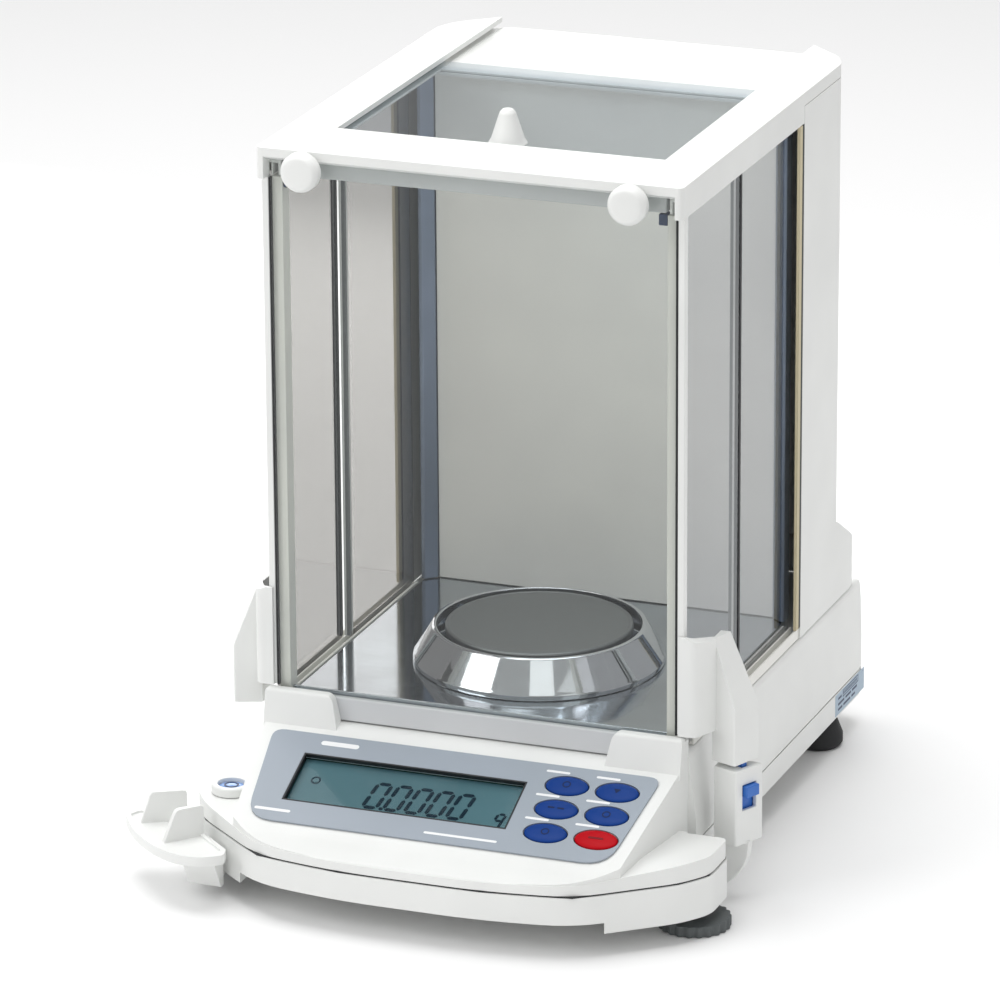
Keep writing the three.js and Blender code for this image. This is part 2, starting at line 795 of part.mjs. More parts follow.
// Grip lever: a tray with two upright fins at the left front corner, on an arm that turns round the foot.
function gripParts() {
  const plan = [
    [-88.6, -77.5, 2],
    [-90.5, -70.8],
    [-107.2, -56],
    [-119, -42],
    [-123, -36.5, 2],
    [-146, -38.5, 4],
    [-149.8, -46, 4],
    [-139.5, -62, 9],
    [-124.5, -76.5, 8],
    [-110, -84.5, 7],
    [-97, -84, 5],
  ];
  const top = trayZ + trayThick;
  const dish = prism(inset(plan, rimWide), top, top + rimTall + 1);
  const tray = prism(plan, trayZ, top + rimTall).subtract(dish);
  const fins = [
    [-121.3, -41.8, -139.6, -52, 5],
    [-107.6, -56, -120.6, -71, 6.5],
  ].map(([x0, y0, x1, y1, slope]) => {
    const length = Math.hypot(x1 - x0, y1 - y0);
    const low = top - 0.5;
    const sheet = extrusion(
      [
        [0, low],
        [length, low],
        [length - slope, low + finTall, 2],
        [0, low + finTall, 2],
      ],
      -1.3,
      1.3,
      3,
    );
    const upright = sheet.rotateX(Math.PI / 2).rotateZ(Math.atan2(y1 - y0, x1 - x0));
    return solid(upright.translate(x0, y0, 0));
  });
  const legPlan = [
    [-110.5, -75],
    [-95, -75],
    [-95, -63.5],
    [-110.5, -51.5],
  ];
  const legProfile = [
    [-75, trayZ + 0.5],
    [-66.5, leverLowZ],
    [-40, leverLowZ],
    [-40, trayZ + 0.5],
  ];
  const leg = prism(legPlan, leverLowZ, trayZ + 0.5).intersect(prismX(legProfile, -115, -90));
  const armHigh = leverLowZ + leverThick;
  const arm = prism(
    [
      [-footX - 6, footY],
      [-110.5, -58],
      [-98, -60],
      [-footX + 6, footY],
    ],
    leverLowZ,
    armHigh,
  );
  const hub = round(stemRadius + stemFit + 4, leverLowZ, armHigh, -footX, footY, 28);
  const bore = round(stemRadius + stemFit, 0, topZ, -footX, footY, 28);
  add("grip_lever", join([tray, ...fins, leg, arm, hub]).subtract(bore), white);
}

function footParts() {
  const teeth = 22;
  const rim = Array.from({ length: teeth * 4 }, (_, i) => {
    const radius = i % 4 < 2 ? footRadius : footRadius - 0.9;
    const angle = (i / (teeth * 4)) * 2 * Math.PI;
    return [radius * Math.cos(angle), radius * Math.sin(angle)];
  });
  const disc = solid(extrusion(rim, 0, footThick).translate(footX, footY, 0));
  const stem = round(stemRadius, footThick - 1, noseLift, footX, footY, 24);
  addPair("front_foot", disc.add(stem), darkGrey);
  const pad = turned(
    [
      [0, 0],
      [rearFootRadius - 1.5, 0],
      [rearFootRadius, 2],
      [rearFootRadius, 6],
      [rearFootRadius - 4, footLift - gap],
      [0, footLift - gap],
    ],
    rearFootX,
    rearFootY,
    32,
  );
  addPair("rear_foot", pad, black);
}

// Column behind the chamber, its foot and the chamber's back wall.
const columnPlan = bothSides([
  [bodyHalf, chamberBackY],
  [bodyHalf, columnBackY - 29, 4],
  [bodyHalf - 5, columnBackY - 18, 4],
  [bodyHalf - 24, columnBackY - 1.2, 4],
  [bodyHalf - 40, columnBackY, 4],
]);

function columnShape(offset) {
  const low = trackLow - offset;
  const high = frameLowZ - gap - offset;
  const footHigh = 109.3 - offset;
  const upper = prism(offset === 0 ? columnPlan : inset(columnPlan, offset), low, high);
  const foot = prismX(
    [
      [chamberBackY + offset, low],
      [bulgeBackY - offset, low],
      [bulgeBackY - offset, footHigh - 20, 3],
      [columnBackY - 29, footHigh, 3],
      [chamberBackY + offset, footHigh],
    ],
    offset - bodyHalf,
    bodyHalf - offset,
  );
  const corners = bothSides([
    [bodyHalf - offset, chamberBackY + offset],
    [bodyHalf - offset, bulgeBackY - offset, 14],
  ]);
  return upper.add(foot.intersect(prism(corners, 0, topZ)));
}

function columnParts() {
  const mouth = box(
    skin - bodyHalf,
    bodyHalf - skin,
    chamberBackY - 1,
    chamberBackY + 8,
    0,
    frameLowZ - gap - skin,
  );
  add("rear_housing", cut(columnShape(0), [columnShape(skin), mouth]), white);
  const stripHalf = innerPaneX - grooveHalf - 1.5;
  const wallHalf = 82;
  const backY = chamberBackY + 8;
  const low = trackHigh + 0.4;
  const high = frameLowZ - gap - skin - gap;
  add("back_wall", box(-wallHalf, wallHalf, backY, backY + 2, low, high), lightGrey);
  const strip = prism(
    [
      [wallHalf + gap, backY + 2],
      [wallHalf + gap, backY - 1],
      [stripHalf - 2, backY - 5],
      [stripHalf, backY - 5],
      [stripHalf, backY + 2],
    ],
    low,
    high,
  );
  addPair("corner_strip", strip, keypadGrey);
}

// Frame over the chamber and the column, with rails for the top door.
function topParts() {
  const plan = bothSides([
    [bodyHalf, frameFrontY, 3],
    [bodyHalf, columnBackY - 29, 4],
    [bodyHalf - 5, columnBackY - 18, 4],
    [bodyHalf - 24, columnBackY - 1, 2],
    [bodyHalf - 40, columnBackY, 2],
  ]);
  const plate = prism(plan, frameLowZ, topZ);
  const skirts = [-1, 1].map((side) => {
    const [x0, x1] = [side * (innerPaneX - 2.5), side * (bodyHalf + 1)].sort((a, b) => a - b);
    const length = box(x0, x1, frameFrontY - 1, chamberBackY - gap, 0, topZ);
    return prism(plan, skirtLowZ, frameLowZ + 1).intersect(length);
  });
  const glassZ = frameLowZ + 1.4;
  const glassTop = glassZ + glassThick;
  const behind = columnBackY + 1;
  const windowBackY = chamberBackY + 1;
  const railHalf = windowHalf + railBite + slide;
  const chamfer = prismX(
    [
      [frameFrontY - 1, 0],
      [frameFrontY - 1, topZ - 4],
      [frameFrontY, topZ - 4],
      [-2, frameLowZ],
      [-2, 0],
    ],
    -outerPaneX + 0.9,
    outerPaneX - 0.9,
  );
  const right = grooves(1.2, chamberBackY, 0, skirtLowZ + 5.4);
  const left = right.map((hole) => solid(mirrored(geometryOf(hole))));
  const holes = [
    box(-windowHalf, windowHalf, windowFrontY, behind, frameLowZ + 0.9, topZ + 1),
    box(-windowHalf, windowHalf, windowFrontY, windowBackY, 0, topZ),
    box(-railHalf, railHalf, windowFrontY - 3.5, behind, glassZ - gap, glassTop + gap),
    box(-outerPaneX + 0.9, outerPaneX - 0.9, -2.1, 2, 0, frameLowZ),
    chamfer,
    ...right,
    ...left,
  ];
  add("top_frame", cut(join([plate, ...skirts]), holes), white);
  const doorHalf = windowHalf + railBite;
  const doorBackY = windowBackY + 5;
  const door = box(-doorHalf, doorHalf, windowFrontY - 3, doorBackY, glassZ, glassTop);
  add("top_pane", door, clearGlass);
  const low = glassTop + gap;
  const knob = [
    [0, low],
    [8.8, low],
    [7.35, low + 2.4],
    [3.6, topZ + 11.5],
    [2.4, topZ + 13],
    [0, topZ + 13.4],
  ];
  add("top_knob", turned(knob, 0, windowFrontY + 10, 40), white);
}

caseParts();
consoleParts();
weighingParts();
frontParts();
doorParts();
handleParts();
carriageParts();
gripParts();
footParts();
columnParts();
topParts();

// The part's origin is the middle of its footprint, on the table.
balance.updateMatrixWorld(true);
const bounds = new THREE.Box3().setFromObject(balance, true);
const middle = bounds.getCenter(new THREE.Vector3());
balance.position.set(-middle.x, -middle.y, -bounds.min.z);
balance.updateMatrixWorld(true);

export default balance;
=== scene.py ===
import json
import math

import bmesh
import bpy
from mathutils import Matrix, Vector


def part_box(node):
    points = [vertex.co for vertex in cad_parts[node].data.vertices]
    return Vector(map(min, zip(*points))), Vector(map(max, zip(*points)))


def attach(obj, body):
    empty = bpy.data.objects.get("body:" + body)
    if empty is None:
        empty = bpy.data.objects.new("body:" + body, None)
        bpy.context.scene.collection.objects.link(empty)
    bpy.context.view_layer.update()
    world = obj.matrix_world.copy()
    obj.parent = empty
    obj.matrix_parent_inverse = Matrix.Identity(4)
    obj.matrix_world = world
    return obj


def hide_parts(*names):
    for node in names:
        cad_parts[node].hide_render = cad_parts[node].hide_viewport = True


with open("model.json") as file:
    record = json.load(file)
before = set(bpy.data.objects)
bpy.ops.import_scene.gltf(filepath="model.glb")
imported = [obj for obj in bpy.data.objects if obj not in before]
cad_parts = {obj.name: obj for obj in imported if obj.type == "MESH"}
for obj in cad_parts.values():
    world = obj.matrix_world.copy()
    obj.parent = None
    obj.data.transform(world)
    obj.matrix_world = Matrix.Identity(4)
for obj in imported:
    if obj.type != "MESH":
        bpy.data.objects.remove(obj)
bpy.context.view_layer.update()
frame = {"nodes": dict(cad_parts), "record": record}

bl_info = {
    "name": "Analytical Balance",
    "version": (1, 0, 0),
    "blender": (4, 5, 0),
    "location": "View3D > Sidebar > Balance",
    "description": "Builds the visible surfaces and finishes of an analytical balance",
    "category": "Object",
}

MM = 0.001
JOINTS = {joint["name"]: joint for joint in frame["record"]["behaviour"]["joints"]}
SLOTS = {part["node"]: part["material_slot"] for part in frame["record"]["subparts"]}
BODY_OF = {
    node: body for body, nodes in frame["record"]["behaviour"]["bodies"].items() for node in nodes
}
SIDES = ("left", "right")
KEYS = ("power", "calibrate", "range", "print", "mode", "rezero")

KEY_ASPECT = 11.4 / 19.6  # oval keys, height over width
KEY_FACE = 2.75 * MM  # from the middle of a key's box out to its crown
RING_BORE = 46.4 * MM  # inner radius of the breeze ring's upper edge
CASE_HALF = 102 * MM  # half width of the case side
CASE_LIFT = 16.4 * MM  # underside of the case above the table
SCREW_HEIGHT = 1.2 * MM  # cover screws' heads
PRINT_LIFT = 0.02 * MM  # between a print and the face under it

# Half of the packing's outline in the case seam, mm from the middle of the front glass.
SEAM_HALF = (
    (33, -83),
    (73.4, -76.6),
    (111, -45.4),
    (120, -31.4),
    (120, -9.4),
    (100.8, -9.4),
    (100.8, 237),
    (89, 248.6),
)

# The sloping console: across, up the slope, and out of it.
OUT = -Vector(JOINTS["power_press"]["axis"])
ACROSS = Vector((1, 0, 0))
UP = OUT.cross(ACROSS)


# ---------------------------------------------------------------- properties


class BalanceColours(bpy.types.PropertyGroup):
    body: bpy.props.StringProperty(name="Body", description="Moulded ABS, sRGB hex", default="EBECEA")
    trim: bpy.props.StringProperty(name="Trim", description="Light-grey trim, sRGB hex", default="CDCFD1")
    film: bpy.props.StringProperty(name="Film", description="Keypad film, sRGB hex", default="9AA3AE")
    key: bpy.props.StringProperty(name="Key", description="Oval keys, sRGB hex", default="0A3A86")
    zero_key: bpy.props.StringProperty(name="Zero key", description="Zero key, sRGB hex", default="B80012")
    lcd: bpy.props.StringProperty(name="Display", description="Display film, sRGB hex", default="6C8A93")


class BalanceSizes(bpy.types.PropertyGroup):
    edge: bpy.props.FloatProperty(
        name="Edge radius", description="Rounding of moulded edges", default=0.9 * MM, unit="LENGTH"
    )
    digit_height: bpy.props.FloatProperty(
        name="Digit height", description="Height of the display digits", default=14.9 * MM, unit="LENGTH"
    )
    digit_pitch: bpy.props.FloatProperty(
        name="Digit pitch", description="Distance between display digits", default=9.8 * MM, unit="LENGTH"
    )
    screw_head: bpy.props.FloatProperty(
        name="Screw head", description="Radius of the cover screws' heads", default=2.9 * MM, unit="LENGTH"
    )


def colours():
    return bpy.context.scene.balance_colours


def sizes():
    return bpy.context.scene.balance_sizes


# ---------------------------------------------------------------- materials


NOISE_RANGE = (0.3, 0.7)  # where nearly all of a noise's values lie
METAL = {"Metallic": 1.0}


def rgba(code):
    """An sRGB hex code as a linear colour."""
    channels = [int(code[i : i + 2], 16) / 255 for i in (0, 2, 4)]
    return [c / 12.92 if c <= 0.04045 else ((c + 0.055) / 1.055) ** 2.4 for c in channels] + [1.0]


def add_node(tree, kind, inputs=None, **settings):
    """A node with its settings, its values and its links."""
    made = tree.nodes.new(kind)
    for name, value in settings.items():
        setattr(made, name, value)
    for key, value in (inputs or {}).items():
        socket = made.inputs[key]
        if isinstance(value, bpy.types.NodeSocket):
            tree.links.new(value, socket)
        else:
            socket.default_value = value
    return made


def material(name, build):
    """A named material; build(tree) returns the shader socket."""
    if name in bpy.data.materials:
        return bpy.data.materials[name]
    made = bpy.data.materials.new(name)
    made.use_nodes = True
    tree = made.node_tree
    tree.nodes.clear()
    add_node(tree, "ShaderNodeOutputMaterial", {"Surface": build(tree)})
    return made


def noise(tree, size_mm, detail=2.0, stretch=(1, 1, 1), roughness=0.5):
    """Noise on object coordinates whose blobs are about size_mm across."""
    place = add_node(tree, "ShaderNodeTexCoord")
    scaled = add_node(
        tree,
        "ShaderNodeMapping",
        {"Vector": place.outputs["Object"], "Scale": Vector(stretch) / (size_mm * MM)},
    )
    return add_node(
        tree,
        "ShaderNodeTexNoise",
        {"Vector": scaled.outputs["Vector"], "Scale": 1.0, "Detail": detail, "Roughness": roughness},
    ).outputs["Fac"]


def stretched(low, high):
    """Map Range values that take a noise to the range low to high."""
    start, end = NOISE_RANGE
    return {"From Min": start, "From Max": end, "To Min": low, "To Max": high}


def shade(code, amount):
    """The hex colour lightened (amount over 1) or darkened."""
    return "".join(f"{min(255, round(int(code[i:i + 2], 16) * amount)):02X}" for i in (0, 2, 4))


def surface(name, codes, mottle, grain, gloss, depth_mm=0.0, values=None):
    """Two colours over the mottle noise; roughness and height over the grain noise.

    mottle and grain are settings of noise(), and gloss is the roughness at the grain's two ends.
    """

    def build(tree):
        cloud, fine = noise(tree, *mottle), noise(tree, *grain)
        ramp = add_node(tree, "ShaderNodeValToRGB", {"Fac": cloud})
        for element, place, code in zip(ramp.color_ramp.elements, NOISE_RANGE, codes):
            element.position, element.color = place, rgba(code)
        rough = add_node(tree, "ShaderNodeMapRange", {"Value": fine, **stretched(*gloss)})
        sockets = {"Base Color": ramp.outputs["Color"], "Roughness": rough.outputs["Result"]}
        if depth_mm:
            height = {"Height": fine, "Strength": 1.0, "Distance": depth_mm * MM}
            sockets["Normal"] = add_node(tree, "ShaderNodeBump", height).outputs["Normal"]
        sockets.update(values or {})
        return add_node(tree, "ShaderNodeBsdfPrincipled", sockets).outputs["BSDF"]

    return material(name, build)


def moulded(name, code, roughness, grain_mm=0.55, depth_mm=0.012, specular=0.5):
    # Injection-moulded plastic: fine spark-eroded grain, faint flow mottling, satin gloss.
    return surface(
        name,
        (shade(code, 0.985), shade(code, 1.01)),
        (45.0, 2.0),
        (grain_mm, 3.0),
        (roughness - 0.04, roughness + 0.05),
        depth_mm,
        {"IOR": 1.53, "Specular IOR Level": specular},
    )


def brushed(name, code, roughness, stretch, line_mm, depth_mm=0.004):
    # Metal brushed, rolled or turned: long fine streaks in gloss and height.
    return surface(
        name,
        (shade(code, 0.97), shade(code, 1.03)),
        (30.0, 2.0),
        (line_mm, 2.0, stretch),
        (roughness - 0.05, roughness + 0.07),
        depth_mm,
        METAL,
    )


def white_abs():
    # Body plastic: warm white ABS, satin.
    return moulded("moulded_white_abs", colours().body, 0.42)


def grey_abs():
    # Trim plastic: light-grey ABS, a little duller than the body.
    return moulded("moulded_grey_abs", colours().trim, 0.45)


def navy_abs():
    # Dark-blue ABS, also the colour of the label's print.
    return moulded("navy_clip", "22365C", 0.45)


def black_packing_and_shade():
    # Black foam and lacquer in gaps: nearly no light comes back. Around the display's recess the same black
    # is painted shade, standing in for the recess's shadow.
    return moulded("black_packing_and_shade", "15171A", 0.5)


def blasted_pan():
    # Stainless steel, fine bead blasting: even dull grey with a soft sparkle.
    beads = (0.45, 4.0, (1, 1, 1), 0.7)
    return surface("bead_blasted_steel", ("7C7F80", "929596"), beads, beads, (0.42, 0.56), 0.02, METAL)


def polished(name="polished_chrome", code="DDE1E6", roughness=0.05):
    # Turned and buffed: mirror bright with a trace of buffing haze.
    haze = (6.0, 3.0)
    gloss = (roughness, roughness + 0.04)
    return surface(name, (shade(code, 0.98), code), haze, haze, gloss, values=METAL)


def lcd_material():
    # Reflective twisted-nematic display: dull green-grey backing film with a faint grain.
    code = colours().lcd
    ends = (shade(code, 0.94), shade(code, 1.05))
    return surface("display_film", ends, (60.0, 1.0), (0.6, 2.0), (0.32, 0.4), 0.004)


def studio_paper():
    # Matt studio paper: even white with a faint tooth.
    tooth = (4.0, 2.0)
    return surface("studio_paper", ("F6F6F6", "F6F6F6"), tooth, tooth, (0.75, 0.85))


def clear_glass(name, tint, gloss=0.9, straight=0.045):
    # Thin float glass: what is behind shows through its tint, and its face mirrors at a glance.
    # gloss is the mirror's strength edge-on and straight its strength head-on.
    def build(tree):
        smear = noise(tree, 35.0, 2.0)
        rough = add_node(tree, "ShaderNodeMapRange", {"Value": smear, **stretched(0.015, 0.03)})
        face = add_node(
            tree,
            "ShaderNodeBsdfPrincipled",
            {"Base Color": rgba("F4F8FA"), "Roughness": rough.outputs["Result"], **METAL},
        )
        through = add_node(tree, "ShaderNodeBsdfTransparent", {"Color": rgba(tint)})
        slant = add_node(tree, "ShaderNodeLayerWeight", {"Blend": 0.5}).outputs["Facing"]
        steep = add_node(tree, "ShaderNodeMath", {0: slant, 1: 5.0}, operation="POWER").outputs[0]
        shine = add_node(
            tree, "ShaderNodeMath", {0: steep, 1: gloss, 2: straight}, operation="MULTIPLY_ADD"
        ).outputs[0]
        inner = add_node(tree, "ShaderNodeNewGeometry").outputs["Backfacing"]
        outer = add_node(tree, "ShaderNodeMath", {0: 1.0, 1: inner}, operation="SUBTRACT").outputs[0]
        factor = add_node(tree, "ShaderNodeMath", {0: shine, 1: outer}, operation="MULTIPLY").outputs[0]
        mixed = {0: factor, 1: through.outputs["BSDF"], 2: face.outputs["BSDF"]}
        return add_node(tree, "ShaderNodeMixShader", mixed).outputs["Shader"]

    return material(name, build)


# ---------------------------------------------------------------- mesh tools


def new_object(name, mesh):
    made = bpy.data.objects.new(name, mesh)
    bpy.context.scene.collection.objects.link(made)
    return made


def from_shell(name, shell):
    """The edited shell as a new object."""
    mesh = bpy.data.meshes.new(name)
    shell.to_mesh(mesh)
    shell.free()
    return new_object(name, mesh)


def plain_mesh(obj):
    """The object's modifiers applied, through the evaluated mesh."""
    graph = bpy.context.evaluated_depsgraph_get()
    mesh = bpy.data.meshes.new_from_object(obj.evaluated_get(graph))
    obj.modifiers.clear()
    obj.data = mesh
    return obj


def soften(mesh, angle=32):
    mesh.shade_smooth()
    mesh.set_sharp_from_angle(angle=math.radians(angle))


def hand_over(obj, finish, slot, body, *nodes):
    """Gives a piece its finish and its body, and hides the nodes it stands for."""
    obj.data.materials.clear()
    obj.data.materials.append(finish)
    if nodes:
        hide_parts(*nodes)
    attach(obj, body)
    return obj


def rounded(node, finish, width=None, segments=3, angle=32):
    """A copy of a node with its edges rounded, standing for the node."""
    mesh = frame["nodes"][node].data.copy()
    made = new_object(node + "_skin", mesh)
    shell = bmesh.new()
    shell.from_mesh(mesh)
    bmesh.ops.remove_doubles(shell, verts=shell.verts, dist=2e-6)
    bmesh.ops.dissolve_limit(shell, angle_limit=math.radians(0.6), verts=shell.verts, edges=shell.edges)
    shell.to_mesh(mesh)
    shell.free()
    bevel = made.modifiers.new("edges", "BEVEL")
    bevel.width = sizes().edge if width is None else width * MM
    bevel.segments = segments
    bevel.limit_method = "ANGLE"
    bevel.angle_limit = math.radians(angle)
    mesh.shade_smooth()
    weighted = made.modifiers.new("normals", "WEIGHTED_NORMAL")
    weighted.keep_sharp = True
    plain_mesh(made)
    return hand_over(made, finish, SLOTS[node], BODY_OF[node], node)


def corners(node):
    """The low and high corner of a node's box."""
    low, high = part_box(node)
    return Vector(low), Vector(high)


def centre(node):
    low, high = corners(node)
    return (low + high) / 2


def around(steps):
    """Cosine and sine of evenly spaced angles, once round."""
    angles = [2 * math.pi * i / steps for i in range(steps)]
    return [(math.cos(angle), math.sin(angle)) for angle in angles]


def bridge(shell, rings, steps):
    """Faces between neighbouring rings; a ring of one vertex is a tip."""
    for lower, upper in zip(rings, rings[1:]):
        for i in range(steps):
            j = (i + 1) % steps
            loop = [lower[k % len(lower)] for k in (i, j)] + [upper[k % len(upper)] for k in (j, i)]
            unique = list(dict.fromkeys(loop))
            if len(unique) > 2:
                shell.faces.new(unique)


def spun(name, profile, origin, axis=(0, 0, 1), steps=128):
    """A turned mesh from (radius, height) points in metres about an axis through origin."""
    shell = bmesh.new()
    rings = []
    for radius, height in profile:
        if radius < 1e-7:
            rings.append([shell.verts.new((0, 0, height))])
        else:
            rings.append([shell.verts.new((radius * c, radius * s, height)) for c, s in around(steps)])
    bridge(shell, rings, steps)
    bmesh.ops.remove_doubles(shell, verts=shell.verts, dist=1e-7)
    bmesh.ops.recalc_face_normals(shell, faces=shell.faces)
    turn = Vector((0, 0, 1)).rotation_difference(Vector(axis)).to_matrix().to_4x4()
    bmesh.ops.transform(shell, matrix=Matrix.Translation(origin) @ turn, verts=shell.verts)
    made = from_shell(name, shell)
    soften(made.data, 40)
    return made


def rounded_profile(points, radius, steps=4):
    """A profile with its inner corners rounded by arcs of about the radius, in metres."""
    path = [Vector(points[0])]
    for before, here, after in zip(points, points[1:], points[2:]):
        here = Vector(here)
        into = Vector(before) - here
        out = Vector(after) - here
        reach = min(radius, into.length * 0.45, out.length * 0.45)
        start = here + into.normalized() * reach
        end = here + out.normalized() * reach
        for i in range(steps + 1):
            t = i / steps
            path.append(start * (1 - t) ** 2 + here * 2 * t * (1 - t) + end * t**2)
    path.append(Vector(points[-1]))
    return path


def slab(name, outlines, origin, right, up, thickness):
    """Flat plates cut to outlines given along right and up, standing out from origin."""
    out = Vector(right).cross(Vector(up)).normalized()
    shell = bmesh.new()
    for points in outlines:
        base = [shell.verts.new(Vector(origin) + Vector(right) * a + Vector(up) * b) for a, b in points]
        face = shell.faces.new(base)
        grown = bmesh.ops.extrude_face_region(shell, geom=[face])
        moved = [v for v in grown["geom"] if isinstance(v, bmesh.types.BMVert)]
        bmesh.ops.translate(shell, vec=out * thickness, verts=moved)
    bmesh.ops.recalc_face_normals(shell, faces=shell.faces)
    return from_shell(name, shell)


def pill(x, y, width, height, steps=6):
    """A bar with round ends."""
    radius = height / 2
    points = []
    for side, turn in ((1, -90), (-1, 90)):
        for i in range(steps + 1):
            angle = math.radians(turn + 180 * i / steps)
            points.append(
                (x + side * (width / 2 - radius) + radius * math.cos(angle), y + radius * math.sin(angle))
            )
    return points


def rectangle(x0, x1, y0, y1):
    return [(x0, y0), (x1, y0), (x1, y1), (x0, y1)]


def block(name, low, high):
    """A closed box between two corners."""
    low, high = Vector(low), Vector(high)
    shell = bmesh.new()
    bmesh.ops.create_cube(shell, size=1.0)
    size = Matrix.Diagonal((*(high - low), 1.0))
    bmesh.ops.transform(shell, matrix=Matrix.Translation((low + high) / 2) @ size, verts=shell.verts)
    return from_shell(name, shell)


# ---------------------------------------------------------------- geometry nodes


def row_tree(name):
    """Cross-head screws in a row; every size, place and finish is a named input."""
    tree = bpy.data.node_groups.new(name, "GeometryNodeTree")
    face = tree.interface
    face.new_socket("Geometry", in_out="INPUT", socket_type="NodeSocketGeometry")
    for label, kind in (
        ("Count", "NodeSocketInt"),
        ("Pitch", "NodeSocketVector"),
        ("Start", "NodeSocketVector"),
        ("Radius", "NodeSocketFloat"),
        ("Height", "NodeSocketFloat"),
        ("Turn", "NodeSocketVector"),
        ("Finish", "NodeSocketMaterial"),
    ):
        face.new_socket(label, in_out="INPUT", socket_type=kind)
    face.new_socket("Geometry", in_out="OUTPUT", socket_type="NodeSocketGeometry")
    given = add_node(tree, "NodeGroupInput").outputs
    line = add_node(
        tree,
        "GeometryNodeMeshLine",
        {"Count": given["Count"], "Start Location": given["Start"], "Offset": given["Pitch"]},
        mode="OFFSET",
    )
    head = add_node(
        tree,
        "GeometryNodeMeshCylinder",
        {"Vertices": 28, "Radius": given["Radius"], "Depth": given["Height"]},
    )
    long, thin, lift = (
        add_node(tree, "ShaderNodeMath", {0: given[label], 1: share}, operation="MULTIPLY").outputs[0]
        for label, share in (("Radius", 1.15), ("Radius", 0.26), ("Height", 0.5))
    )
    up = add_node(tree, "ShaderNodeCombineXYZ", {"Z": lift})
    recess = add_node(tree, "GeometryNodeMeshBoolean", operation="DIFFERENCE")
    tree.links.new(head.outputs["Mesh"], recess.inputs["Mesh 1"])
    for wide, deep in ((long, thin), (thin, long)):
        size = add_node(tree, "ShaderNodeCombineXYZ", {"X": wide, "Y": deep, "Z": given["Height"]})
        arm = add_node(tree, "GeometryNodeMeshCube", {"Size": size.outputs[0]})
        raised = add_node(
            tree,
            "GeometryNodeTransform",
            {"Geometry": arm.outputs["Mesh"], "Translation": up.outputs[0]},
        )
        tree.links.new(raised.outputs["Geometry"], recess.inputs["Mesh 2"])
    placed = add_node(
        tree,
        "GeometryNodeInstanceOnPoints",
        {"Points": line.outputs["Mesh"], "Instance": recess.outputs["Mesh"], "Rotation": given["Turn"]},
    )
    real = add_node(tree, "GeometryNodeRealizeInstances", {"Geometry": placed.outputs["Instances"]})
    painted = add_node(
        tree,
        "GeometryNodeSetMaterial",
        {"Geometry": real.outputs["Geometry"], "Material": given["Finish"]},
    )
    add_node(tree, "NodeGroupOutput", {"Geometry": painted.outputs["Geometry"]})
    return tree


def screw_row(name, start, pitch, count, turn, finish, slot, body):
    """A row of cross-head screws as one plain mesh."""
    made = new_object(name, bpy.data.meshes.new(name))
    tree = bpy.data.node_groups.get("screw_row") or row_tree("screw_row")
    modifier = made.modifiers.new("row", "NODES")
    modifier.node_group = tree
    values = {
        "Count": count,
        "Pitch": Vector(pitch),
        "Start": Vector(start),
        "Radius": sizes().screw_head,
        "Height": SCREW_HEIGHT,
        "Turn": Vector(turn),
        "Finish": finish,
    }
    for item in tree.interface.items_tree:
        if item.in_out == "INPUT" and item.name in values:
            modifier[item.identifier] = values[item.name]
    plain_mesh(made)
    soften(made.data)
    return hand_over(made, finish, slot, body)


# ---------------------------------------------------------------- operators


class BALANCE_OT_case(bpy.types.Operator):
    """Moulded halves of the case, the column and the top frame"""

    bl_idname = "balance.case"
    bl_label = "Case and column"

    def execute(self, context):
        white = white_abs()
        for node, width in (
            ("bottom_case", 1.2),
            ("base_cover", 1.5),
            ("rear_housing", 1.6),
            ("top_frame", 1.0),
        ):
            rounded(node, white, width, 4)
        self.seam()
        rounded("front_lip", grey_abs(), 0.8)
        rounded("top_beam", grey_abs(), 0.8)
        rounded("power_inlet", moulded("moulded_black_plastic", "1B1C1E", 0.5), 0.6)
        self.inlet_pin()
        return {"FINISHED"}

    def inlet_pin(self):
        low, high = corners("power_inlet")
        middle = (low + high) / 2
        half = 0.9 * MM
        pin = block(
            "inlet_pin",
            (middle.x - half, high.y - 8 * MM, middle.z - half),
            (middle.x + half, high.y - 1 * MM, middle.z + half),
        )
        hand_over(pin, polished("nickel_pin", "C9C6BC", 0.2), "polished_ring", "base")

    def seam(self):
        """Black packing between the two halves of the case, set back from the outside."""
        glass = centre("front_glass")
        low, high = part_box("bottom_case")[1][2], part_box("base_cover")[0][2]
        clear = 0.05 * MM
        half = [(x * MM, y * MM) for x, y in SEAM_HALF]
        plan = half + [(-x, y) for x, y in reversed(half)]
        origin = (glass.x, glass.y, low + clear)
        packing = slab("seam_packing", [plan], origin, (1, 0, 0), (0, 1, 0), high - low - 2 * clear)
        hand_over(packing, black_packing_and_shade(), "black_rubber", "base")


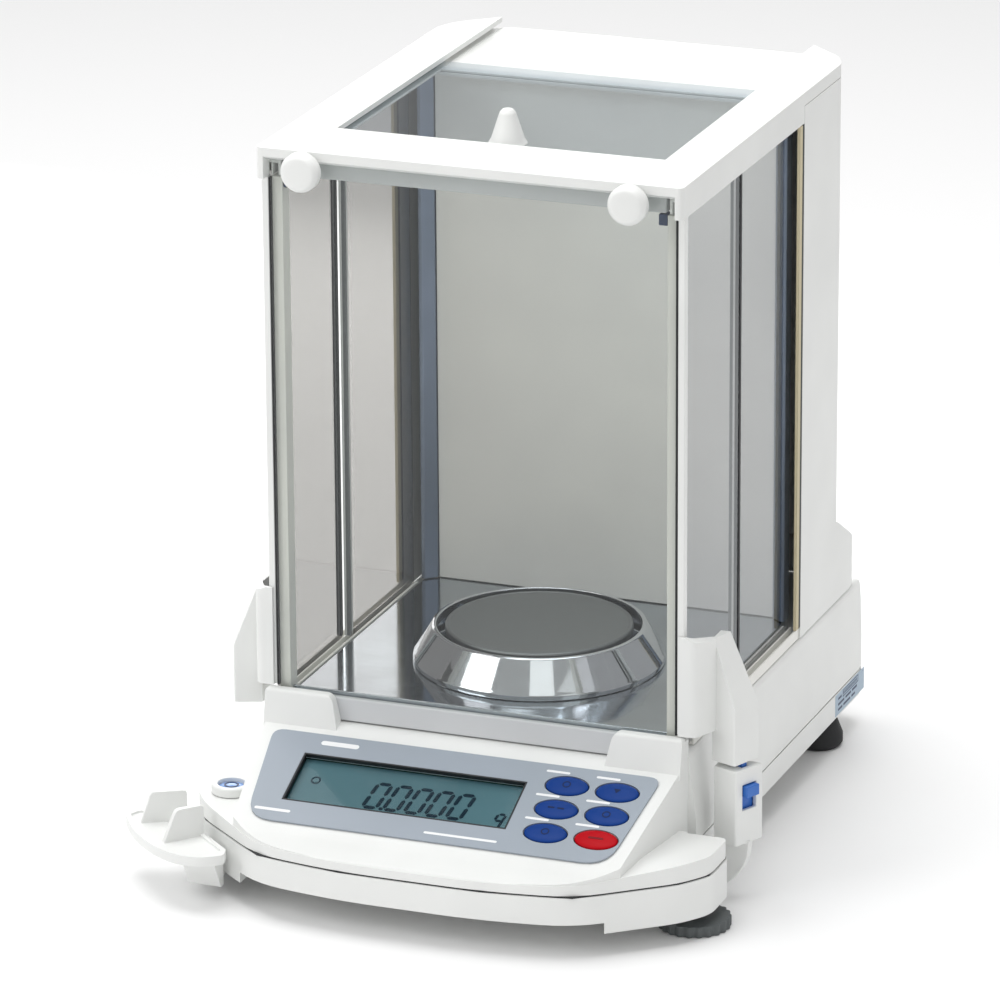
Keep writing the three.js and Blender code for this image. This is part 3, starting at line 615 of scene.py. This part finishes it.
class BALANCE_OT_chamber(bpy.types.Operator):
    """Stainless floor, back wall, pan and breeze ring"""

    bl_idname = "balance.chamber"
    bl_label = "Weighing chamber"

    def execute(self, context):
        floor = brushed("rolled_stainless_floor", "B6BCC2", 0.1, (0.02, 1, 1), 0.4, 0.0006)
        rounded("chamber_floor", floor, 0.35, 2)
        wall = moulded("satin_painted_wall", "FCFBF6", 0.4, 0.8, 0.004)
        rounded("back_wall", wall, 0.3, 2)
        strip = brushed("anodised_corner_strip", "8793A6", 0.38, (1, 1, 0.02), 0.4, 0.003)
        for side in SIDES:
            rounded("corner_strip_" + side, strip, 0.4, 2)
        self.pan()
        self.ring()
        rounded("pan_support", brushed("turned_aluminium", "B4B6B7", 0.3, (1, 1, 1), 0.8), 0.4, 2)
        return {"FINISHED"}

    def pan(self):
        low, high = corners("weighing_pan")
        middle = centre("weighing_pan")
        radius = (high.x - low.x) / 2
        top = high.z
        profile = [
            (0, top - 1.4 * MM),
            (radius - 1.6 * MM, top - 1.4 * MM),
            (radius - 1.0 * MM, low.z),
            (radius, low.z),
            (radius, top - 0.7 * MM),
            (radius - 0.7 * MM, top),
            (radius - 1.6 * MM, top),
            (radius - 2.0 * MM, top - 0.25 * MM),
            (0, top - 0.25 * MM),
        ]
        disc = spun("pan_skin", rounded_profile(profile, 0.35 * MM, 3), (middle.x, middle.y, 0))
        hand_over(disc, blasted_pan(), SLOTS["weighing_pan"], "pan", "weighing_pan")

    def ring(self):
        low, high = corners("breeze_ring")
        middle = centre("breeze_ring")
        outer = (high.x - low.x) / 2
        inner = RING_BORE
        top, bottom = high.z, low.z
        profile = [
            (outer - 0.8 * MM, bottom + 1.2 * MM),
            (outer - 0.8 * MM, bottom),
            (outer, bottom),
            (outer, bottom + 2.2 * MM),
            (outer - 0.8 * MM, bottom + 3.4 * MM),
            (inner + 2.0 * MM, top - 0.4 * MM),
            (inner + 0.8 * MM, top),
            (inner, top - 0.2 * MM),
            (inner, top - 4.5 * MM),
            (inner + 1.0 * MM, top - 4.5 * MM),
            (inner + 1.2 * MM, top - 2.0 * MM),
            (outer - 0.8 * MM, bottom + 1.2 * MM),
        ]
        cone = spun("ring_skin", rounded_profile(profile, 0.5 * MM, 4), (middle.x, middle.y, 0), steps=160)
        hand_over(cone, polished(), SLOTS["breeze_ring"], "ring", "breeze_ring")


class BALANCE_OT_shield(bpy.types.Operator):
    """Glass panes, stiles, posts, tracks, seals and glass screws"""

    bl_idname = "balance.shield"
    bl_label = "Glass draft shield"

    def execute(self, context):
        clear = clear_glass("front_float_glass", "F6F7F6")
        side = {
            "right": clear_glass("right_door_float_glass", "EBEBEC"),
            "left": clear_glass("left_door_float_glass", "D6D4D3"),
        }
        top = clear_glass("top_float_glass", "EEF1F3")
        white = white_abs()
        alloy = moulded("satin_anodised_profile", "EDECE6", 0.32, 0.6, 0.004)
        rounded("front_glass", clear, 0.3, 2)
        rounded("top_pane", top, 0.3, 2)
        rounded("top_knob", white, 0.5, 3, 20)
        seal = moulded("extruded_beige_seal", "CFC3A2", 0.6)
        rubber = moulded("black_gasket", "17181B", 0.55)
        for name in SIDES:
            for pane in ("front_pane_", "rear_pane_"):
                rounded(pane + name, side[name], 0.25, 2)
            rounded("front_stile_" + name, white, 0.5)
            self.rear_stile(name, white)
            rounded("front_post_" + name, alloy, 0.4)
            rounded("door_track_" + name, alloy, 0.15, 2)
            rounded("corner_clip_" + name, navy_abs(), 0.4)
            self.column_seal(name, seal, rubber)
            self.edge_seals(name, rubber)
            self.screw(name, white)
        return {"FINISHED"}

    def rear_stile(self, name, white):
        """White strip on the outside of the pane, grey gasket on the inside."""
        node = "rear_stile_" + name
        low, high = corners(node)
        outer_x = high.x if name == "right" else low.x
        inner_x = low.x if name == "right" else high.x
        face = (outer_x, outer_x + (inner_x - outer_x) * 0.35)
        strip = block("stile_strip_" + name, (min(face), low.y, low.z), (max(face), high.y, high.z))
        hand_over(strip, white, SLOTS[node], BODY_OF[node], node)
        seam = (face[1], outer_x + (inner_x - outer_x) * 0.8)
        gasket = block(
            "stile_gasket_" + name, (min(seam), low.y, low.z), (max(seam), low.y + 2.2 * MM, high.z)
        )
        hand_over(gasket, moulded("grey_gasket", "6E7273", 0.5), "black_rubber", BODY_OF[node])

    def column_seal(self, name, seal, rubber):
        """Beige lip in front of a black one, where the rear pane meets the column."""
        low, high = corners("column_seal_" + name)
        joint = low.y + (high.y - low.y) * 0.6
        front = block("column_seal_beige_" + name, low, (high.x, joint, high.z))
        back = block("column_seal_black_" + name, (low.x, joint, low.z), high)
        hand_over(front, seal, SLOTS["column_seal_" + name], "base", "column_seal_" + name)
        hand_over(back, rubber, "black_rubber", "base")

    def edge_seals(self, name, rubber):
        """Dark lines at the front pane's rear edge and the front glass's side edge."""
        sign = 1 if name == "right" else -1
        low, high = corners("front_pane_" + name)
        edge = block(
            "pane_edge_seal_" + name,
            (low.x - 0.35 * MM, high.y - 1.8 * MM, low.z + 4.2 * MM),
            (high.x + 0.35 * MM, high.y + 0.15 * MM, high.z - 5 * MM),
        )
        hand_over(edge, rubber, "black_rubber", BODY_OF["front_pane_" + name])
        low, high = corners("front_glass")
        x = high.x if sign > 0 else low.x
        side = sorted((x - sign * 0.5 * MM, x + sign * 0.3 * MM))
        line = block(
            "front_glass_edge_" + name,
            (side[0], low.y - 0.05 * MM, low.z + 2 * MM),
            (side[1], high.y + 0.05 * MM, high.z - 8 * MM),
        )
        hand_over(line, rubber, "black_rubber", "base")

    def screw(self, name, white):
        """Round thumb screw that holds the front glass."""
        low, high = corners("glass_screw_" + name)
        middle = (low + high) / 2
        radius = (high.x - low.x) / 2
        reach = high.y - low.y
        profile = [
            (0, 0),
            (1.7 * MM, 0),
            (1.7 * MM, 5.9 * MM),
            (radius - 1.2 * MM, 5.9 * MM),
            (radius, 6.9 * MM),
            (radius, reach - 2.6 * MM),
            (radius - 1.6 * MM, reach - 0.5 * MM),
            (radius * 0.55, reach - 0.1 * MM),
            (0, reach),
        ]
        head = spun(
            "glass_screw_skin_" + name,
            rounded_profile(profile, 0.9 * MM, 5),
            (middle.x, high.y, middle.z),
            axis=(0, -1, 0),
            steps=96,
        )
        hand_over(head, white, SLOTS["glass_screw_" + name], "screw_" + name, "glass_screw_" + name)


class BALANCE_OT_controls(bpy.types.Operator):
    """Door handles, carriage, latch, grip lever and bubble level"""

    bl_idname = "balance.controls"
    bl_label = "Handles and levers"

    def execute(self, context):
        white = white_abs()
        for name in SIDES:
            rounded("door_handle_" + name, white, 1.1, 4)
        rounded("door_carriage", white, 0.9, 3)
        rounded("grip_lever", white, 1.0, 4)
        rounded("latch_slide", moulded("moulded_blue_latch", "2F6DC4", 0.38), 0.45)
        rounded("level_ring", white, 0.5)
        self.vial()
        return {"FINISHED"}

    def vial(self):
        """Domed lens of the bubble level and the circle printed on it."""
        low, high = corners("level_vial")
        middle = (low + high) / 2
        radius = (high.x - low.x) / 2
        profile = [
            (0, low.z),
            (radius, low.z),
            (radius, high.z - 0.6 * MM),
            (radius * 0.6, high.z),
            (0, high.z + 0.2 * MM),
        ]
        lens = spun("vial_skin", rounded_profile(profile, 0.4 * MM), (middle.x, middle.y, 0), steps=64)
        hand_over(lens, moulded("tinted_vial", "7FA3DC", 0.12), SLOTS["level_vial"], "base", "level_vial")
        inner, outer = radius * 0.42, radius * 0.56
        foot, face = high.z + 0.05 * MM, high.z + 0.3 * MM
        band = [(inner, foot), (outer, foot), (outer, face), (inner, face), (inner, foot)]
        circle = spun("vial_circle", [Vector(p) for p in band], (middle.x, middle.y, 0), steps=48)
        hand_over(circle, navy_abs(), "navy_plastic", "base")


class BALANCE_OT_console(bpy.types.Operator):
    """Keypad film, display and its digits"""

    bl_idname = "balance.console"
    bl_label = "Console"

    def execute(self, context):
        film = moulded("printed_keypad_film", colours().film, 0.38, 0.8, 0.006)
        rounded("keypad_overlay", film, 0.3, 2)
        rounded("lcd_window", clear_glass("display_window", "E8F0F1", 0.3, 0.01), 0.15, 2)
        rounded("lcd_module", lcd_material(), 0.2, 2)
        self.lining()
        self.digits()
        self.legends()
        return {"FINISHED"}

    def lining(self):
        """Black walls lining the display's recess, above the window: painted shade in place of the recess's
        shadow along its edges.
        """
        low, high = corners("lcd_window")
        middle = (low + high) / 2
        half = (high.x - low.x) / 2
        window_thick = 1.2 * MM
        tall = (high.z - low.z - window_thick * OUT.z) / UP.z / 2
        edge, inner = 0.25 * MM, 0.5 * MM
        outer = (half + edge, tall + edge)
        bars = [
            rectangle(-outer[0], outer[0], tall - inner, outer[1]),
            rectangle(-outer[0], outer[0], -outer[1], inner - tall),
            rectangle(-outer[0], inner - half, inner - tall, tall - inner),
            rectangle(half - inner, outer[0], inner - tall, tall - inner),
        ]
        # Painted shade: black walls darken the recess's edges where its shadow falls.
        made = slab("display_recess_shade", bars, middle + OUT * 0.65 * MM, ACROSS, UP, 2.0 * MM)
        hand_over(made, black_packing_and_shade(), "black_plastic", "base")

    def digits(self):
        """Seven-segment reading of zero, with a unit and the stable mark."""
        height = sizes().digit_height
        pitch = sizes().digit_pitch
        low, high = corners("lcd_module")
        half_thick = 1.75 * MM
        origin = (low + high) / 2 + OUT * (half_thick + PRINT_LIFT)
        width = high.x - low.x
        lean = 0.16
        thick = height * 0.125
        wide = height * 0.43
        start = width * 0.5 - 7.06 * pitch
        foot = -height * 0.64
        shapes = []

        def bar(x0, y0, x1, y1, weight=thick):
            """One segment with pointed ends, leaning to the right."""
            along = Vector((x1 - x0, y1 - y0)).normalized()
            side = Vector((-along.y, along.x)) * weight / 2
            gap = along * weight * 0.2
            a, b = Vector((x0, y0)) + gap, Vector((x1, y1)) - gap
            tip = along * weight / 2
            outline = [a, a + tip - side, b - tip - side, b, b - tip + side, a + tip + side]
            shapes.append([(c.x + (c.y - foot) * lean, c.y) for c in outline])

        def digit(x, segments):
            top, half = foot + height, foot + height / 2
            ends = {
                "a": (x, top, x + wide, top),
                "b": (x + wide, half, x + wide, top),
                "c": (x + wide, foot, x + wide, half),
                "d": (x, foot, x + wide, foot),
                "e": (x, foot, x, half),
                "f": (x, half, x, top),
                "g": (x, half, x + wide, half),
            }
            for key in segments:
                bar(*ends[key])

        for place in range(5):
            digit(start + place * pitch, "abcdef")
        dot_x = start + wide + pitch * 0.22
        shapes.append(pill(dot_x, foot, thick * 1.1, thick, 4))
        unit_x = width * 0.5 - 8.4 * MM
        unit = height * 0.42
        unit_wide = unit * 0.7
        for x0, y0, x1, y1 in (
            (0, 0.35, 0, 1),
            (0, 1, 0.8, 1),
            (0.8, -0.45, 0.8, 1),
            (0, 0.35, 0.8, 0.35),
            (0.1, -0.45, 0.8, -0.45),
        ):
            start_point = (unit_x + x0 * unit_wide, foot + y0 * unit)
            bar(*start_point, unit_x + x1 * unit_wide, foot + y1 * unit, thick * 0.7)
        ink = moulded("display_ink", "14293A", 0.4, specular=0.2)
        made = slab("display_digits", shapes, origin, ACROSS, UP, 0.12 * MM)
        hand_over(made, ink, "lcd", "base")
        spot = origin + ACROSS * (-width * 0.5 + 9.0 * MM) + UP * (2.4 * MM)
        band = [Vector(p) * MM for p in ((1.5, 0), (2.3, 0), (2.3, 0.12), (1.5, 0.12), (1.5, 0))]
        mark = spun("stable_mark", band, spot, axis=OUT, steps=40)
        hand_over(mark, ink, "lcd", "base")

    def legends(self):
        """Plain printed bars in place of names and legends."""
        low, high = corners("keypad_overlay")
        half_thick = 0.4 * MM
        face = (low + high) / 2 + OUT * (half_thick + PRINT_LIFT / 2)
        bars = []
        for key in KEYS:
            place = centre(key + "_key") - face
            across, along = place.dot(ACROSS), place.dot(UP)
            bars.append(pill(across - 6.5 * MM, along + 7.6 * MM, 11 * MM, 1.3 * MM))
        left = -(high.x - low.x) / 2
        bars.append(pill(left + 17 * MM, -21.5 * MM, 17 * MM, 1.6 * MM))
        bars.append(pill(15 * MM, -23 * MM, 34 * MM, 1.3 * MM))
        bars.append(pill(left + 33 * MM, 22.5 * MM, 18 * MM, 2.6 * MM))
        ink = moulded("white_print", "F2F3F4", 0.45)
        made = slab("key_legends", bars, face, ACROSS, UP, 0.08 * MM)
        hand_over(made, ink, "white_plastic", "base")


class BALANCE_OT_keys(bpy.types.Operator):
    """Oval domed keys with plain symbols"""

    bl_idname = "balance.keys"
    bl_label = "Keys"

    def execute(self, context):
        blue = moulded("moulded_blue_key", colours().key, 0.4, 0.6, 0.008, 0.14)
        red = moulded("moulded_red_key", colours().zero_key, 0.4, 0.6, 0.008, 0.1)
        ink = moulded("key_print", "0A1F4A", 0.5, specular=0.2)
        dark_red = moulded("zero_print", "7A0412", 0.5, specular=0.2)
        for key in KEYS:
            self.cap(key, red if key == "rezero" else blue)
            self.symbol(key, dark_red if key == "rezero" else ink)
        return {"FINISHED"}

    def frame_of(self, key):
        """The middle of the key's crown and half its width."""
        low, high = corners(key + "_key")
        middle = (low + high) / 2
        half_wide = (high.x - low.x) / 2
        return middle + OUT * KEY_FACE, half_wide

    def cap(self, key, finish):
        """An oval cap with a shoulder and a low crown."""
        top, half = self.frame_of(key)
        tall = half * KEY_ASPECT
        steps = 72
        levels = (
            (1.0, -5.5),
            (1.0, -1.6),
            (0.985, -1.15),
            (0.95, -0.85),
            (0.88, -0.62),
            (0.72, -0.36),
            (0.5, -0.15),
            (0.25, -0.04),
        )
        shell = bmesh.new()
        rings = []
        for share, depth in levels:
            middle = top + OUT * depth * MM
            rings.append(
                [
                    shell.verts.new(middle + ACROSS * (half * share * c) + UP * (tall * share * s))
                    for c, s in around(steps)
                ]
            )
        bridge(shell, rings, steps)
        shell.faces.new(rings[-1])
        shell.faces.new(list(reversed(rings[0])))
        bmesh.ops.recalc_face_normals(shell, faces=shell.faces)
        made = from_shell(key + "_cap", shell)
        soften(made.data, 50)
        hand_over(made, finish, SLOTS[key + "_key"], key + "_button", key + "_key")

    def symbol(self, key, finish):
        """A plain sign on the key: a ring, a bar, or a triangle."""
        top, _ = self.frame_of(key)
        place = top - OUT * 0.1 * MM
        if key == "calibrate":
            shapes = [[(-1.6 * MM, 1.1 * MM), (0, -1.5 * MM), (1.6 * MM, 1.1 * MM)]]
        elif key == "rezero":
            shapes = [pill(0, 0, 7 * MM, 1.1 * MM)]
        elif key == "range":
            shapes = [pill(-2.2 * MM, 0, 3.2 * MM, 0.9 * MM), pill(2.2 * MM, 0, 3.2 * MM, 0.9 * MM)]
        else:
            inner, outer = 1.35 * MM, 1.9 * MM
            band = [(inner, 0), (outer, 0), (outer, 0.15 * MM), (inner, 0.15 * MM), (inner, 0)]
            shapes = None
            made = spun(key + "_sign", [Vector(p) for p in band], place, axis=OUT, steps=40)
        if shapes:
            made = slab(key + "_sign", shapes, place, ACROSS, UP, 0.15 * MM)
        hand_over(made, finish, SLOTS[key + "_key"], key + "_button")


class BALANCE_OT_feet(bpy.types.Operator):
    """Levelling feet and rear pads"""

    bl_idname = "balance.feet"
    bl_label = "Feet"

    def execute(self, context):
        grey = moulded("moulded_grey_foot", "565B5C", 0.55, 0.7, 0.02)
        rubber = moulded("black_rubber_pad", "1E1F21", 0.7, 0.5, 0.02)
        for name in SIDES:
            rounded("front_foot_" + name, grey, 0.5, 2)
            rounded("rear_foot_" + name, rubber, 0.6, 3)
        return {"FINISHED"}


class BALANCE_OT_inside(bpy.types.Operator):
    """Load cell, boards and calibration weight inside the case"""

    bl_idname = "balance.inside"
    bl_label = "Inner parts"

    def execute(self, context):
        cast = moulded("cast_aluminium", "A5A8AA", 0.5, 1.2, 0.03)
        board = moulded("green_solder_mask", "1F6A45", 0.35, 1.5, 0.01)
        for node in ("load_cell_body", "load_cell_lever"):
            rounded(node, cast, 0.6, 2)
        for node in ("display_board", "main_board"):
            rounded(node, board, 0.15, 2)
        rounded("calibration_weight", polished("polished_weight", "C9CCCE", 0.12), 0.5, 3)
        return {"FINISHED"}


class BALANCE_OT_details(bpy.types.Operator):
    """Rating label and cover screws"""

    bl_idname = "balance.details"
    bl_label = "Label and screws"

    def execute(self, context):
        self.label()
        steel = polished("zinc_plated_screw", "B9BDC1", 0.22)
        low, high = corners("rear_housing")
        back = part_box("top_frame")[1][1]
        foot = 60 * MM
        rise = (high.z - low.z - foot - 42 * MM) / 2
        for side, x in (("left", low.x + 50 * MM), ("right", high.x - 50 * MM)):
            start = (x, back - 0.1 * MM, low.z + foot)
            self.screws("column_screws_" + side, start, (0, 0, rise), (-math.pi / 2, 0, 0), steel)
        low, high = corners("bottom_case")
        for side, x in (("left", low.x + 34 * MM), ("right", high.x - 34 * MM)):
            start = (x, low.y + 90 * MM, CASE_LIFT)
            self.screws("case_screws_" + side, start, (0, 64 * MM, 0), (math.pi, 0, 0), steel)
        return {"FINISHED"}

    def screws(self, name, start, pitch, turn, steel):
        screw_row(name, start, pitch, 3, turn, steel, "polished_ring", "base")

    def label(self):
        """Pale blue rating label with plain bars and an empty frame."""
        side_x = centre("top_frame").x + CASE_HALF
        origin = Vector((side_x, corners("bottom_case")[1].y - 51 * MM, 17.2 * MM))
        right, up = Vector((0, 1, 0)), Vector((0, 0, 1))
        paper = moulded("pale_blue_label", "A3B8CA", 0.4, 1.2, 0.004)
        sheet = slab("rating_label", [rectangle(0, 43 * MM, 0, 10.4 * MM)], origin, right, up, 0.12 * MM)
        hand_over(sheet, paper, "keypad_film", "base")
        lines = ((4, 5, 7.2), (4, 9, 4.4), (15, 8, 4.4), (25, 7, 4.4))
        lines += ((4, 6, 1.8), (12, 10, 1.8), (24, 5, 1.8))
        printed = [(x, x + width, y, y + 1.1) for x, width, y in lines]
        printed += [(11, 34, 9.4, 9.8), (11, 34, 6.4, 6.8), (11, 11.4, 6.8, 9.4), (33.6, 34, 6.8, 9.4)]
        printed += [(12 + i * 1.4, 12.6 + i * 1.4, 7.3, 8.9) for i in range(15)]
        shapes = [rectangle(*(value * MM for value in sides)) for sides in printed]
        face = origin + Vector((0.13 * MM, 0, 0))
        print_ = slab("label_print", shapes, face, right, up, 0.05 * MM)
        hand_over(print_, navy_abs(), "navy_plastic", "base")


# Camera: where it stands from the foot of the front glass's middle, and how it is turned.
CAMERA_PLACE = Vector((985.26, -2541.42, 1103.42)) * MM
CAMERA_YAW = 0.3657
CAMERA_PITCH = 0.328
CAMERA_ROLL = -0.0064
SENSOR = 36.0
LENS = 6.609 * SENSOR

FLOOR_HALF = 6.0  # half width of the floor, metres
WORLD_STRENGTH = 0.5

# Soft panels: name, place, aim, width, height (metres) and power (watts).
MIDDLE = (0, 0, 0.15)
LAMPS = (
    ("key", (-1.5, -1.5, 1.6), MIDDLE, 1.2, 1.2, 15),
    ("side", (1.9, -1.2, 1.2), MIDDLE, 1.4, 1.4, 3),
    ("front", (0.75, -1.75, 2.0), MIDDLE, 0.9, 0.9, 2.5),
    ("top", (-0.2, 0.2, 2.2), MIDDLE, 1.8, 1.8, 36),
    ("backdrop", (-0.6, 0.9, 0.33), (-0.6, 0, 0.33), 1.0, 0.34, 3.4),
)


class BALANCE_OT_stage(bpy.types.Operator):
    """Pale floor, soft lights and the camera"""

    bl_idname = "balance.stage"
    bl_label = "Stage"

    def execute(self, context):
        scene = context.scene
        scene.view_settings.view_transform = "Standard"
        scene.cycles.transparent_max_bounces = 32
        plan = rectangle(-FLOOR_HALF, FLOOR_HALF, -FLOOR_HALF, FLOOR_HALF)
        floor = slab("floor", [plan], (0, 0, -2 * MM), (1, 0, 0), (0, 1, 0), 1.9 * MM)
        floor.data.materials.append(studio_paper())
        self.world(scene)
        self.lamps(scene)
        self.camera(scene)
        return {"FINISHED"}

    def world(self, scene):
        world = bpy.data.worlds.new("studio")
        world.use_nodes = True
        tree = world.node_tree
        tree.nodes.clear()
        soft = add_node(tree, "ShaderNodeBackground", {"Color": rgba("FFFFFF"), "Strength": WORLD_STRENGTH})
        add_node(tree, "ShaderNodeOutputWorld", {"Surface": soft.outputs[0]})
        scene.world = world

    def lamps(self, scene):
        for name, place, aim, width, height, power in LAMPS:
            lamp = bpy.data.lights.new(name, "AREA")
            lamp.shape = "RECTANGLE"
            lamp.size = width
            lamp.size_y = height
            lamp.energy = power
            made = bpy.data.objects.new(name, lamp)
            made.location = place
            made.rotation_euler = (Vector(aim) - Vector(place)).to_track_quat("-Z", "Y").to_euler()
            scene.collection.objects.link(made)

    def camera(self, scene):
        forward = Vector(
            (
                -math.sin(CAMERA_YAW) * math.cos(CAMERA_PITCH),
                math.cos(CAMERA_YAW) * math.cos(CAMERA_PITCH),
                -math.sin(CAMERA_PITCH),
            )
        )
        level = Vector((math.cos(CAMERA_YAW), math.sin(CAMERA_YAW), 0))
        upright = level.cross(forward)
        right = level * math.cos(CAMERA_ROLL) + upright * math.sin(CAMERA_ROLL)
        up = upright * math.cos(CAMERA_ROLL) - level * math.sin(CAMERA_ROLL)
        lens = bpy.data.cameras.new("camera")
        lens.sensor_width = SENSOR
        lens.lens = LENS
        lens.clip_end = 100
        made = bpy.data.objects.new("camera", lens)
        turn = Matrix((right, up, -forward)).transposed().to_4x4()
        glass = centre("front_glass")
        made.matrix_world = Matrix.Translation(CAMERA_PLACE + Vector((glass.x, glass.y, 0))) @ turn
        scene.collection.objects.link(made)
        scene.camera = made


class BALANCE_PT_panel(bpy.types.Panel):
    """Steps that build the balance"""

    bl_idname = "BALANCE_PT_panel"
    bl_label = "Analytical Balance"
    bl_space_type = "VIEW_3D"
    bl_region_type = "UI"
    bl_category = "Balance"

    def draw(self, context):
        for step in STEPS:
            self.layout.operator(step.bl_idname)


STEPS = (
    BALANCE_OT_stage,
    BALANCE_OT_case,
    BALANCE_OT_chamber,
    BALANCE_OT_shield,
    BALANCE_OT_controls,
    BALANCE_OT_console,
    BALANCE_OT_keys,
    BALANCE_OT_feet,
    BALANCE_OT_inside,
    BALANCE_OT_details,
)
CLASSES = (BalanceColours, BalanceSizes, *STEPS, BALANCE_PT_panel)


def register():
    for each in CLASSES:
        bpy.utils.register_class(each)
    bpy.types.Scene.balance_colours = bpy.props.PointerProperty(type=BalanceColours)
    bpy.types.Scene.balance_sizes = bpy.props.PointerProperty(type=BalanceSizes)


def unregister():
    del bpy.types.Scene.balance_sizes
    del bpy.types.Scene.balance_colours
    for each in reversed(CLASSES):
        bpy.utils.unregister_class(each)


def main():
    register()
    for step in STEPS:
        group, name = step.bl_idname.split(".")
        getattr(getattr(bpy.ops, group), name)()


if __name__ == "__main__":
    main()
